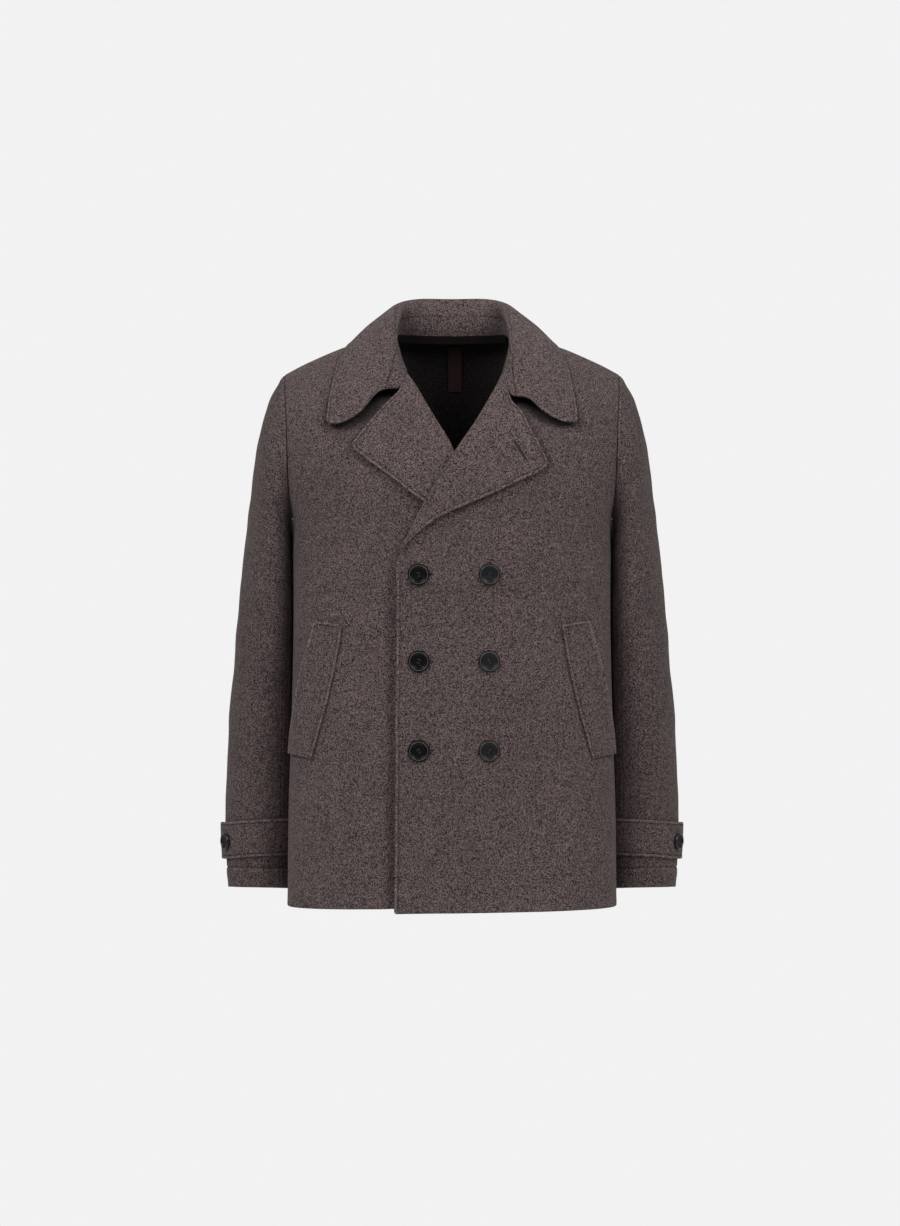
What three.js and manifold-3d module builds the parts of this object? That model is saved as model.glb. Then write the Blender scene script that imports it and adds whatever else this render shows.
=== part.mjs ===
// Double-breasted pea coat in melton wool, filled out as if worn, with nobody in it.
// Millimetres, +Z up, the front faces -Y, and +X is the wearer's left.
// The origin is the middle of the neck opening, level with the neck ends of the shoulder seams.

import * as THREE from 'three';
import { mergeVertices } from 'three/addons/utils/BufferGeometryUtils.js';
import Module from 'manifold-3d';

const wasm = await Module();
wasm.setup();

// Cloth
const CLOTH = 2.6;
const COLLAR_CLOTH = 3.2;
const STRAP_CLOTH = 2.8;
const TAPE_CLOTH = 1.0;
const SEAM_GAP = 0.4;
const ARMHOLE_GAP = 0.8;

// Neck opening and shoulders
const NECK_HALF = 74;
const NECK_BACK = 68;
const SHOULDER_TIP_X = 217.6;
const SHOULDER_TIP_Z = -51;
const ARMHOLE_BOTTOM_Z = -236;
const HEM_Z = -739;
const UNDER_HEM_RISE = 5;

// Buttons
const BUTTON_DIAMETER = 27.5;
const CUFF_BUTTON_DIAMETER = 22.5;
const BUTTON_ROWS = [-311, -421, -534.5];
const BUTTON_COLUMNS = [{ name: 'right', x: -41.7 }, { name: 'left', x: 46.8 }];
const BUTTON_SEAT = 0.3;
// A button's section in shares of its radius and in millimetres up from the cloth
const BUTTON = {
  sides: 18,
  hole: 2.4,
  holeCircle: 3,
  profile: [
    { r: 0, height: 0 },
    { r: 0.8, height: 0 },
    { r: 0.96, height: 1 },
    { r: 1, height: 2.6 },
    { r: 0.95, height: 4.2 },
    { r: 0.85, height: 4.6 },
    { r: 0.74, height: 4 },
    { r: 0.66, height: 3 },
    { r: 0, height: 3 },
  ],
};

// Shoulder seam from the neck to the sleeve head
const SHOULDER = [
  { x: 0, z: 2 },
  { x: 74, z: 0 },
  { x: 131, z: -12 },
  { x: 185, z: -34 },
  { x: SHOULDER_TIP_X, z: SHOULDER_TIP_Z },
  { x: 245, z: -68 },
];

// Level sections of the body: half width, front and back at the middle, and the side seam
const SECTIONS = [
  { z: -745, half: 213, front: -131, back: 122, side: -15 },
  { z: -612, half: 211.5, front: -132, back: 118, side: -15 },
  { z: -520, half: 208.5, front: -134, back: 112, side: -15 },
  { z: -430, half: 206, front: -136, back: 109, side: -15 },
  { z: -360, half: 205, front: -138, back: 111, side: -15 },
  { z: -290, half: 205.5, front: -141, back: 118, side: -15 },
  { z: -236, half: 206.5, front: -142, back: 124, side: -15 },
  { z: -190, half: 221, front: -142, back: 127, side: -11 },
  { z: -120, half: 232, front: -140, back: 126, side: -6 },
  { z: -51, half: 238, front: -135, back: 120, side: -2 },
  { z: 40, half: 242, front: -128, back: 112, side: 0 },
];
const FRONT_ROUNDNESS = 2.6;
const BACK_ROUNDNESS = 2.5;

// How far below the shoulder seam the body reaches its full depth, near the neck and at the tip
const FRONT_DOME = { neck: 220, tip: 120, power: 0.65 };
const BACK_DOME = { neck: 175, tip: 110, power: 0.45 };
const DOME_FROM_X = 100;

// Armhole seam seen from the front
const ARMHOLE = [
  { z: ARMHOLE_BOTTOM_Z, x: 206.5 },
  { z: -214, x: 208.8 },
  { z: -182, x: 210.6 },
  { z: -123, x: 212.5 },
  { z: -96, x: 214.5 },
  { z: SHOULDER_TIP_Z, x: SHOULDER_TIP_X },
];

// Rows of a front from hem to shoulder: its free edge and roll line inside, its side outside
const FRONT_ROWS = [
  { v: 0, xIn: -72.7, zIn: HEM_Z, zOut: HEM_Z + 1 },
  { v: 0.12, xIn: -71.6, zIn: -645, zOut: -645 },
  { v: 0.24, xIn: -70.8, zIn: -550, zOut: -548 },
  { v: 0.36, xIn: -70.2, zIn: -455, zOut: -448 },
  { v: 0.46, xIn: -69.4, zIn: -375, zOut: -360 },
  { v: 0.53, xIn: -68.4, zIn: -322, zOut: -298 },
  { v: 0.58, xIn: -67, zIn: -289, zOut: -262 },
  { v: 0.63, xIn: -53.5, zIn: -252, zOut: ARMHOLE_BOTTOM_Z },
  { v: 0.68, xIn: -38, zIn: -220, zOut: -219 },
  { v: 0.73, xIn: -17.7, zIn: -186, zOut: -201 },
  { v: 0.78, xIn: 1.3, zIn: -154.8, zOut: -178 },
  { v: 0.83, xIn: 25.4, zIn: -119, zOut: -150 },
  { v: 0.88, xIn: 49.8, zIn: -76.7, zOut: -119 },
  { v: 0.91, xIn: 59.5, zIn: -57, zOut: -100 },
  { v: 0.94, xIn: 67, zIn: -38, zOut: -83 },
  { v: 0.97, xIn: 72, zIn: -18, zOut: -67 },
  { v: 0.985, xIn: 74, zIn: -7, zOut: -58 },
  { v: 1, xIn: 74, zIn: 0, zOut: SHOULDER_TIP_Z },
];
const BREAK_V = 0.58;
const GORGE_V = 0.905;
const LAPEL_WRAP = 4.2;
// Direction in which a lapel turns past the edge of its front
const LAPEL_TURN = { x: 0.89, z: 0.46 };
const UNDER_EDGE_SHIFT = 8;

// Rows of a back half from hem to neck and shoulder
const BACK_ROWS = [
  { v: 0, zIn: HEM_Z + UNDER_HEM_RISE, zOut: HEM_Z + 1 },
  { v: 0.15, zIn: -640, zOut: -640 },
  { v: 0.3, zIn: -530, zOut: -530 },
  { v: 0.42, zIn: -430, zOut: -430 },
  { v: 0.53, zIn: -335, zOut: -335 },
  { v: 0.63, zIn: -240, zOut: ARMHOLE_BOTTOM_Z },
  { v: 0.71, zIn: -170, zOut: -205 },
  { v: 0.8, zIn: -105, zOut: -160 },
  { v: 0.87, zIn: -58, zOut: -118 },
  { v: 0.92, zIn: -30, zOut: -88 },
  { v: 0.96, zIn: -12, zOut: -68 },
  { v: 1, zIn: 2, zOut: SHOULDER_TIP_Z },
];

// How far the top front stands out over the one beneath, and over the lapel beneath
const OVER_LIFT = { front: 3.2, lapel: 4.7 };

// Lapel outlines from the break of the roll to the tip, and from the gorge to the tip
const LAPEL_LEFT = {
  lower: [
    { x: -65.5, z: -287 },
    { x: -53, z: -268 },
    { x: -21.5, z: -242.5 },
    { x: 8.8, z: -227.5 },
    { x: 49.2, z: -210.5 },
    { x: 92.3, z: -190 },
    { x: 111.5, z: -181 },
    { x: 123, z: -171 },
  ],
  upper: [
    { x: 66, z: -51 },
    { x: 74, z: -86 },
    { x: 88, z: -103 },
    { x: 98, z: -123.5 },
    { x: 109, z: -143 },
    { x: 123, z: -171 },
  ],
};
const LAPEL_RIGHT = {
  lower: [
    { x: 65.5, z: -287 },
    { x: 53, z: -270 },
    { x: 21.5, z: -247 },
    { x: -9, z: -232 },
    { x: -38, z: -218 },
    { x: -77, z: -188.5 },
    { x: -119, z: -157 },
    { x: -128.5, z: -146 },
  ],
  upper: [
    { x: -58.5, z: -53 },
    { x: -65.5, z: -75 },
    { x: -76, z: -86 },
    { x: -88, z: -98 },
    { x: -108, z: -121 },
    { x: -128.5, z: -146 },
  ],
};

// Collar from the centre back (0) to its front end (1): neck seam, roll and outer edge
const COLLAR = [
  { u: 0, nx: 0, ny: 64.4, nz: 1, rx: 0, ry: 82, rz: 53, ox: 0, oy: 104, oz: -19 },
  { u: 0.2, nx: 39, ny: 53.5, nz: 1, rx: 44, ry: 69, rz: 52, ox: 64, oy: 90, oz: -19 },
  { u: 0.4, nx: 63.8, ny: 25.6, nz: 0, rx: 70, ry: 38, rz: 43, ox: 113, oy: 52, oz: -22 },
  { u: 0.56, nx: 69.8, ny: 0, nz: -2, rx: 76.5, ry: 4, rz: 29, ox: 134, oy: 2, oz: -6 },
  { u: 0.7, nx: 69, ny: -24, nz: -11, rx: 75.5, ry: -30, rz: 4, ox: 148, oy: -38, oz: -35 },
  { u: 0.85, nx: 62.5, ny: -51, nz: -36, rx: 69.5, ry: -58, rz: -27, ox: 157, oy: -88, oz: -86 },
];
// Where along a collar half its free front end begins, and half the stand seam as a share across
const COLLAR_END_FROM = 0.85;
const COLLAR_SEAM_HALF = 0.0035;
const COLLAR_TIP = { x: 160.7, z: -117.5 };
const COLLAR_END_LEFT = [
  { x: 65, z: -46 },
  { x: 75, z: -81.5 },
  { x: 82, z: -84 },
  { x: 97, z: -86.5 },
  { x: 117, z: -104 },
  { x: 140, z: -116 },
  COLLAR_TIP,
];
const COLLAR_END_RIGHT = [
  { x: -58, z: -48 },
  { x: -67, z: -72 },
  { x: -82, z: -74 },
  { x: -95, z: -79 },
  { x: -118, z: -105 },
  { x: -143, z: -119 },
  { x: -COLLAR_TIP.x, z: COLLAR_TIP.z },
];

// Sleeve rings: outermost point, innermost point, middle and half depth front to back
const RINGS = [
  { l: 0, xo: 217.6, zo: -51, xi: 206.9, zi: -236, y: -6, depth: 66 },
  { l: 0.04, xo: 226, zo: -63, xi: 208.6, zi: -241, y: -4, depth: 71 },
  { l: 0.08, xo: 235, zo: -80, xi: 209.5, zi: -247, y: -2, depth: 74 },
  { l: 0.13, xo: 243, zo: -101, xi: 210, zi: -256, y: 0, depth: 76 },
  { l: 0.18, xo: 250, zo: -128, xi: 209.5, zi: -267, y: 3, depth: 77 },
  { l: 0.24, xo: 256, zo: -162, xi: 208, zi: -284, y: 6, depth: 76 },
  { l: 0.31, xo: 262, zo: -205, xi: 206, zi: -309, y: 10, depth: 74 },
  { l: 0.39, xo: 268.5, zo: -257, xi: 204, zi: -345, y: 14, depth: 72 },
  { l: 0.48, xo: 276, zo: -325, xi: 203, zi: -392, y: 20, depth: 69 },
  { l: 0.58, xo: 284, zo: -408, xi: 202.5, zi: -453, y: 28, depth: 65 },
  { l: 0.69, xo: 291.5, zo: -500, xi: 203, zi: -529, y: 37, depth: 61 },
  { l: 0.8, xo: 296, zo: -580, xi: 204, zi: -596, y: 45, depth: 57 },
  { l: 0.9, xo: 297.3, zo: -655, xi: 206, zi: -663, y: 52, depth: 54 },
  { l: 1, xo: 294.5, zo: -720, xi: 207.5, zi: -722, y: 57, depth: 52 },
];
const SLEEVE_SEAM_FRONT = -128;
const SLEEVE_SEAM_BACK = 118;
const SLEEVE_CLEARANCE = 5.5;
// Share of the sleeve's length over which it leaves the form of the armhole
const SLEEVE_FIT_END = 0.16;
// Half the width of a sleeve seam, in degrees round the sleeve
const SLEEVE_SEAM_HALF = 0.32;
// One degree round a sleeve as a share of the sleeve's length
const SLEEVE_DEGREE = 1 / 2400;

// Cuff strap: from the inner seam round the front to just past the outer side
const STRAP_SEAT = 0.8;
const STRAP = { top: -634, bottom: -682, from: -152, to: 7, buttonAngle: -31 };

// Slanted pocket welt on a front: inner edge and outer edge at heights from top to bottom
const WELT = [
  { t: 0, xi: 138, zi: -375, xo: 172, zo: -370 },
  { t: 0.3, xi: 146, zi: -421, xo: 186, zo: -420 },
  { t: 0.6, xi: 157, zi: -471, xo: 196.5, zo: -468 },
  { t: 0.85, xi: 169, zi: -515, xo: 203, zo: -512 },
  { t: 1, xi: 177.5, zi: -546, xo: 205.5, zo: -541 },
];
const WELT_CLOTH = 2.6;
const WELT_SEAT = 1.5;

// Tape round the inside of the neck, and the strip down the centre back
const NECK_TAPE = { reach: 0.6, bottom: -8, top: 3, cells: 16, seat: 0.4 };
const HANGER_STRIP = { middle: 4, width: 19, top: -3, bottom: -66, cells: 6, seat: 1.2, away: 5 };

// Soft folds in the cloth: ends, half width and depth; a negative depth is a trough
const FRONT_FOLDS = [
  { x0: -190, z0: -325, x1: -95, z1: -352, width: 15, depth: -3.2 },
  { x0: -185, z0: -362, x1: -105, z1: -380, width: 14, depth: 2.6 },
  { x0: -198, z0: -250, x1: -150, z1: -298, width: 15, depth: -3.5 },
  { x0: 192, z0: -318, x1: 105, z1: -350, width: 15, depth: -3.0 },
  { x0: 198, z0: -252, x1: 160, z1: -290, width: 15, depth: -3.6 },
  { x0: -120, z0: -452, x1: -85, z1: -520, width: 17, depth: -2.4 },
  { x0: 105, z0: -455, x1: 128, z1: -640, width: 20, depth: -2.2 },
  { x0: -140, z0: -560, x1: -150, z1: -735, width: 22, depth: 2.6 },
  { x0: 150, z0: -590, x1: 158, z1: -735, width: 22, depth: 2.8 },
];
const BACK_FOLDS = [
  { x0: -188, z0: -205, x1: -130, z1: -290, width: 17, depth: -3.5 },
  { x0: 188, z0: -210, x1: 135, z1: -285, width: 17, depth: -3.2 },
  { x0: -165, z0: -352, x1: -60, z1: -384, width: 16, depth: -3.4 },
  { x0: 172, z0: -340, x1: 52, z1: -372, width: 16, depth: -3.0 },
  { x0: -120, z0: -396, x1: -20, z1: -412, width: 15, depth: 2.4 },
  { x0: -96, z0: -540, x1: -104, z1: -738, width: 26, depth: 3.4 },
  { x0: 88, z0: -520, x1: 102, z1: -738, width: 26, depth: 3.6 },
];
const SLEEVE_FOLDS = [
  { x0: -60, z0: 0.30, x1: 40, z1: 0.345, width: 0.022, depth: -3.4 },
  { x0: -110, z0: 0.40, x1: -20, z1: 0.43, width: 0.02, depth: -3.0 },
  { x0: -100, z0: 0.50, x1: 10, z1: 0.55, width: 0.022, depth: -4.0 },
  { x0: 20, z0: 0.46, x1: 120, z1: 0.50, width: 0.022, depth: -3.6 },
  { x0: -70, z0: 0.62, x1: 50, z1: 0.60, width: 0.02, depth: -2.6 },
];

// Counts of cells, along and across
const FRONT_CELLS = { along: 30, across: 12 };
const BACK_CELLS = { along: 22, neck: 4, shoulder: 8 };
const SLEEVE_CELLS = { along: 24, top: 11, under: 5 };
const LAPEL_CELLS = 12;
const COLLAR_CELLS = 26;
const WELT_CELLS = { along: 8, across: 3 };
const STRAP_CELLS = 13;

const CLOTH_COLOUR = 0x5b5450;
const materials = {
  cloth: new THREE.MeshStandardMaterial({ color: CLOTH_COLOUR, roughness: 0.95, metalness: 0 }),
  tape: new THREE.MeshStandardMaterial({ color: 0x2e2320, roughness: 0.8, metalness: 0 }),
  button: new THREE.MeshStandardMaterial({ color: 0x0d0c0c, roughness: 0.25, metalness: 0 }),
};

const group = new THREE.Group();

// Numbers and tables
const clamp01 = (value) => Math.min(Math.max(value, 0), 1);
const mix = (a, b, share) => a + (b - a) * share;
const radians = (degrees) => (degrees * Math.PI) / 180;

function ease(value, from, to) {
  const share = clamp01((value - from) / (to - from));
  return share * share * (3 - 2 * share);
}

// Reads a table at any value of its key column, with a smooth curve through the rows
function reader(table, key) {
  const columns = Object.keys(table[0]).filter((column) => column !== key);
  const last = table.length - 1;
  const slope = (column, i) => {
    const before = table[Math.max(i - 1, 0)];
    const after = table[Math.min(i + 1, last)];
    return (after[column] - before[column]) / (after[key] - before[key]);
  };
  return (value) => {
    let i = 0;
    while (i < last - 1 && value > table[i + 1][key]) i += 1;
    const length = table[i + 1][key] - table[i][key];
    const t = clamp01((value - table[i][key]) / length);
    const row = {};
    for (const column of columns) {
      const start = table[i][column];
      const end = table[i + 1][column];
      row[column] = start * (2 * t ** 3 - 3 * t ** 2 + 1)
        + slope(column, i) * length * (t ** 3 - 2 * t ** 2 + t)
        + end * (3 * t ** 2 - 2 * t ** 3)
        + slope(column, i + 1) * length * (t ** 3 - t ** 2);
    }
    return row;
  };
}

// Gives each row of an outline its share of the length along it
function byLength(outline) {
  let total = 0;
  const rows = outline.map((row, i) => {
    if (i > 0) total += Math.hypot(row.x - outline[i - 1].x, row.z - outline[i - 1].z);
    return { s: total, x: row.x, z: row.z };
  });
  return rows.map((row) => ({ ...row, s: row.s / total }));
}

function foldDepth(folds, x, z, scale = 1) {
  let depth = 0;
  for (const fold of folds) {
    const dx = (fold.x1 - fold.x0) * scale;
    const dz = fold.z1 - fold.z0;
    const along = ((x - fold.x0) * scale * dx + (z - fold.z0) * dz) / (dx * dx + dz * dz);
    const t = clamp01(along);
    const away = Math.hypot((x - fold.x0) * scale - dx * t, z - fold.z0 - dz * t);
    depth += fold.depth * Math.exp(-((away / fold.width) ** 2)) * (0.35 + 0.65 * Math.sin(Math.PI * t));
  }
  return depth;
}

const sectionAt = reader(SECTIONS, 'z');
const shoulderAt = reader(SHOULDER, 'x');
const armholeAt = reader(ARMHOLE, 'z');
const frontRowAt = reader(FRONT_ROWS, 'v');
const backRowAt = reader(BACK_ROWS, 'v');
const ringAt = reader(RINGS, 'l');
const collarAt = reader(COLLAR, 'u');
const weltAt = reader(WELT, 't');

// The outer surface of the body, front or back, at a place seen from the front
function bodySurface(x, z, isFront) {
  const away = Math.abs(x);
  const section = sectionAt(z);
  const roundness = isFront ? FRONT_ROUNDNESS : BACK_ROUNDNESS;
  const rim = (1 - Math.min(away / section.half, 1) ** roundness) ** (1 / roundness);
  const middle = isFront ? section.front : section.back;
  const folds = isFront ? FRONT_FOLDS : BACK_FOLDS;
  const outward = isFront ? -1 : 1;
  const full = section.side + (middle - section.side) * rim;
  const neck = isFront || away >= NECK_HALF ? 0 : NECK_BACK * Math.sqrt(1 - (away / NECK_HALF) ** 2);
  const dome = isFront ? FRONT_DOME : BACK_DOME;
  const reach = mix(dome.neck, dome.tip, clamp01((away - DOME_FROM_X) / (SHOULDER_TIP_X - DOME_FROM_X)));
  const below = clamp01((shoulderAt(away).z - z) / reach);
  const share = Math.sin((Math.PI / 2) * below) ** dome.power;
  const fold = foldDepth(folds, x, z) * rim * share;
  return new THREE.Vector3(x, neck + (full - neck) * share + outward * fold, z);
}

function surfaceNormal(x, z, isFront) {
  const step = 1;
  const across = bodySurface(x + step, z, isFront).sub(bodySurface(x - step, z, isFront));
  const up = bodySurface(x, z + step, isFront).sub(bodySurface(x, z - step, isFront));
  const normal = across.cross(up).normalize();
  return normal.y * (isFront ? -1 : 1) < 0 ? normal.negate() : normal;
}

// How far the top front lies outside the plain body surface
function overLift(x, z) {
  const near = 1 - ease(x, 75, 165);
  const low = 1 - ease(z, -150, -70);
  const overLapel = ease(z, -350, -290);
  return near * low * (OVER_LIFT.front + OVER_LIFT.lapel * overLapel);
}

// A point over a front, moved out from it; the wearer's left front is the top one
function overFront(side, x, z, lift) {
  const base = side > 0 ? overLift(x, z) : 0;
  return bodySurface(x, z, true).addScaledVector(surfaceNormal(x, z, true), base + lift);
}

// Closed walls from grids of points
function gridNormals(grid, facing) {
  const lastRow = grid.length - 1;
  const lastColumn = grid[0].length - 1;
  return grid.map((row, i) => row.map((point, j) => {
    const along = grid[Math.min(i + 1, lastRow)][j].clone().sub(grid[Math.max(i - 1, 0)][j]);
    const across = row[Math.min(j + 1, lastColumn)].clone().sub(row[Math.max(j - 1, 0)]);
    const normal = along.cross(across).normalize();
    return normal.dot(facing(point, i, j)) < 0 ? normal.negate() : normal;
  }));
}

function movedGrid(grid, normals, distance) {
  return grid.map((row, i) => row.map((point, j) => {
    const far = typeof distance === 'function' ? distance(point, i, j) : distance;
    return point.clone().addScaledVector(normals[i][j], far);
  }));
}

function closedGeometry(outer, inner) {
  const rows = outer.length;
  const columns = outer[0].length;
  const positions = [...outer.flat(), ...inner.flat()].flatMap((point) => point.toArray());
  const outside = (i, j) => i * columns + j;
  const inside = (i, j) => rows * columns + i * columns + j;
  const faces = [];
  const quad = (a, b, c, d) => faces.push(a, b, c, a, c, d);
  for (let i = 0; i < rows - 1; i += 1) {
    for (let j = 0; j < columns - 1; j += 1) {
      quad(outside(i, j), outside(i, j + 1), outside(i + 1, j + 1), outside(i + 1, j));
      quad(inside(i, j), inside(i + 1, j), inside(i + 1, j + 1), inside(i, j + 1));
    }
  }
  const rim = [];
  for (let j = 0; j < columns - 1; j += 1) rim.push([0, j]);
  for (let i = 0; i < rows - 1; i += 1) rim.push([i, columns - 1]);
  for (let j = columns - 1; j > 0; j -= 1) rim.push([rows - 1, j]);
  for (let i = rows - 1; i > 0; i -= 1) rim.push([i, 0]);
  rim.forEach(([i, j], k) => {
    const [nextI, nextJ] = rim[(k + 1) % rim.length];
    quad(outside(i, j), inside(i, j), inside(nextI, nextJ), outside(nextI, nextJ));
  });
  const geometry = new THREE.BufferGeometry();
  geometry.setAttribute('position', new THREE.Float32BufferAttribute(positions, 3));
  geometry.setIndex(signedVolume(positions, faces) < 0 ? reversed(faces) : faces);
  geometry.computeVertexNormals();
  return geometry;
}

function signedVolume(positions, faces) {
  const corner = (k) => new THREE.Vector3().fromArray(positions, faces[k] * 3);
  let volume = 0;
  for (let k = 0; k < faces.length; k += 3) {
    volume += corner(k).dot(corner(k + 1).cross(corner(k + 2))) / 6;
  }
  return volume;
}

function reversed(faces) {
  const turned = [];
  for (let k = 0; k < faces.length; k += 3) turned.push(faces[k], faces[k + 2], faces[k + 1]);
  return turned;
}

function addPiece(name, geometry, material) {
  const mesh = new THREE.Mesh(geometry, material);
  mesh.name = name;
  group.add(mesh);
  return mesh;
}

const grid = (rows, columns, pointAt) => Array.from({ length: rows + 1 }, (_, i) => (
  Array.from({ length: columns + 1 }, (__, j) => pointAt(i / rows, j / columns, i, j))
));

const fromBodyMiddle = (point) => new THREE.Vector3(point.x, point.y, 0);

// Angle round a section that belongs to a sideways place, and back
const angleOf = (x, half, roundness) => (
  Math.sign(x) * Math.asin(Math.min(Math.abs(x) / half, 1) ** (roundness / 2))
);
const sidewaysOf = (angle, half, roundness) => (
  Math.sign(angle) * half * Math.abs(Math.sin(angle)) ** (2 / roundness)
);

// Free edge and roll line of a front, as the eye sees it
function rollEdge(side, v) {
  const row = frontRowAt(v);
  const shift = side > 0 ? 0 : UNDER_EDGE_SHIFT * ease(v, 0.74, 0.82) * (1 - ease(v, 0.88, 0.95));
  return { x: side * (row.xIn - shift), z: row.zIn };
}

// The fronts, each from its edge and roll line to the side seam and armhole
function frontGrid(side) {
  const { along, across } = FRONT_CELLS;
  return grid(along, across, (v, u) => {
    const row = frontRowAt(v);
    const edge = rollEdge(side, v);
    const setback = LAPEL_WRAP * ease(v, BREAK_V - 0.03, BREAK_V + 0.03) * (1 - ease(v, 0.95, 1));
    const xIn = side * edge.x + setback;
    const zOut = row.zOut;
    const xOut = zOut <= ARMHOLE_BOTTOM_Z ? sectionAt(zOut).half : armholeAt(zOut).x;
    const half = mix(sectionAt(row.zIn).half, sectionAt(zOut).half, u);
    const from = angleOf(xIn, sectionAt(row.zIn).half, FRONT_ROUNDNESS);
    const to = angleOf(xOut, sectionAt(zOut).half, FRONT_ROUNDNESS);
    const x = u === 0 ? xIn : sidewaysOf(mix(from, to, u), half, FRONT_ROUNDNESS);
    const share = clamp01((x - xIn) / (xOut - xIn));
    const straight = mix(row.zIn, zOut, share);
    const bow = shoulderAt(Math.max(x, NECK_HALF)).z - mix(0, SHOULDER_TIP_Z, share);
    const drop = side < 0 ? UNDER_HEM_RISE * (1 - ease(v, 0, 0.2)) : 0;
    const z = straight + bow * ease(row.zIn, -90, 0) + drop * (1 - share);
    return bodySurface(side * x, z, true);
  });
}

function seamClamp(isFront) {
  return (point) => {
    const seam = sectionAt(point.z).side;
    const line = point.z > SHOULDER_TIP_Z - 12 ? Math.max(seam, 0) : seam;
    const edge = isFront ? line - SEAM_GAP / 2 : line + SEAM_GAP / 2;
    point.y = isFront ? Math.min(point.y, edge) : Math.max(point.y, edge);
  };
}

function addFront(side, name) {
  const base = frontGrid(side);
  const normals = gridNormals(base, fromBodyMiddle);
  const lift = (point) => (side > 0 ? overLift(point.x, point.z) : 0);
  const outer = movedGrid(base, normals, lift);
  const inner = movedGrid(base, normals, (point) => lift(point) - CLOTH);
  [...outer.flat(), ...inner.flat()].forEach(seamClamp(true));
  return addPiece(name, closedGeometry(outer, inner), materials.cloth);
}

// The back halves, from the centre-back seam to the side seam and armhole
function addBack(side, name) {
  const { along, neck, shoulder } = BACK_CELLS;
  const columns = neck + shoulder;
  const base = grid(along, columns, (v, u, i, j) => {
    const row = backRowAt(v);
    const zOut = row.zOut;
    const xOut = zOut <= ARMHOLE_BOTTOM_Z ? sectionAt(zOut).half : armholeAt(zOut).x;
    const to = angleOf(xOut, sectionAt(zOut).half, BACK_ROUNDNESS);
    const half = mix(sectionAt(row.zIn).half, sectionAt(zOut).half, u);
    const xLevel = sidewaysOf(to * u, half, BACK_ROUNDNESS);
    const xTop = j <= neck
      ? NECK_HALF * Math.sin((Math.PI / 2) * (j / neck))
      : mix(NECK_HALF, xOut, (j - neck) / shoulder);
    const x = mix(xLevel, xTop, ease(row.zIn, -200, -20));
    const share = clamp01(x / xOut);
    const bow = shoulderAt(x).z - mix(2, SHOULDER_TIP_Z, share);
    const z = mix(row.zIn, zOut, share) + bow * ease(row.zIn, -90, 0);
    return bodySurface(side * x, z, false);
  });
  const normals = gridNormals(base, fromBodyMiddle);
  const inner = movedGrid(base, normals, -CLOTH);
  const clampSide = seamClamp(false);
  [...base.flat(), ...inner.flat()].forEach((point) => {
    clampSide(point);
    point.x = side * Math.max(side * point.x, SEAM_GAP / 2);
  });
  addPiece(name, closedGeometry(base, inner), materials.cloth);
}

// Lapels: rolled over the edge of the front and laid on it
function addLapel(side, name, outline) {
  const lower = reader(byLength(outline.lower), 's');
  const upper = reader(byLength(outline.upper), 's');
  // Share of the width, distance past the front's edge, and height over the front
  const across = [
    { width: 0, past: 3.9, lift: -0.6 },
    { width: 0, past: 3.4, lift: 2.6 },
    { width: 0, past: 0.6, lift: 4.1 },
    { width: 0.1, past: 0, lift: 4.3 },
    { width: 0.28, past: 0, lift: 4.6 },
    { width: 0.5, past: 0, lift: 4.6 },
    { width: 0.75, past: 0, lift: 4.4 },
    { width: 1, past: 0, lift: 4.0 },
  ];
  const centre = grid(LAPEL_CELLS, across.length - 1, (t, _, i, j) => {
    const roll = rollEdge(side, mix(BREAK_V + 0.008, GORGE_V, t));
    const edge = lower(t);
    const { width, past, lift } = across[j];
    const start = { x: roll.x + side * LAPEL_WRAP, z: roll.z };
    const end = upper(1);
    const bend = upper(width);
    const pull = ease(t, 0.6, 1);
    const straightEnd = { x: mix(upper(0).x, end.x, width), z: mix(upper(0).z, end.z, width) };
    const x = mix(start.x, edge.x, width) + (bend.x - straightEnd.x) * pull - side * past * LAPEL_TURN.x;
    const z = mix(start.z, edge.z, width) + (bend.z - straightEnd.z) * pull + past * LAPEL_TURN.z;
    return overFront(side, x, z, lift);
  });
  const towardsFront = () => new THREE.Vector3(0, -1, 0.2);
  const normals = gridNormals(centre, towardsFront);
  normals.forEach((row) => {
    row[0].set(-side * LAPEL_TURN.x, 0, LAPEL_TURN.z).normalize();
    row[1].set(-side * 0.6, -0.7, 0.35).normalize();
  });
  const inner = movedGrid(centre, normals, -COLLAR_CLOTH);
  addPiece(name, closedGeometry(centre, inner), materials.cloth);
}

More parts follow.
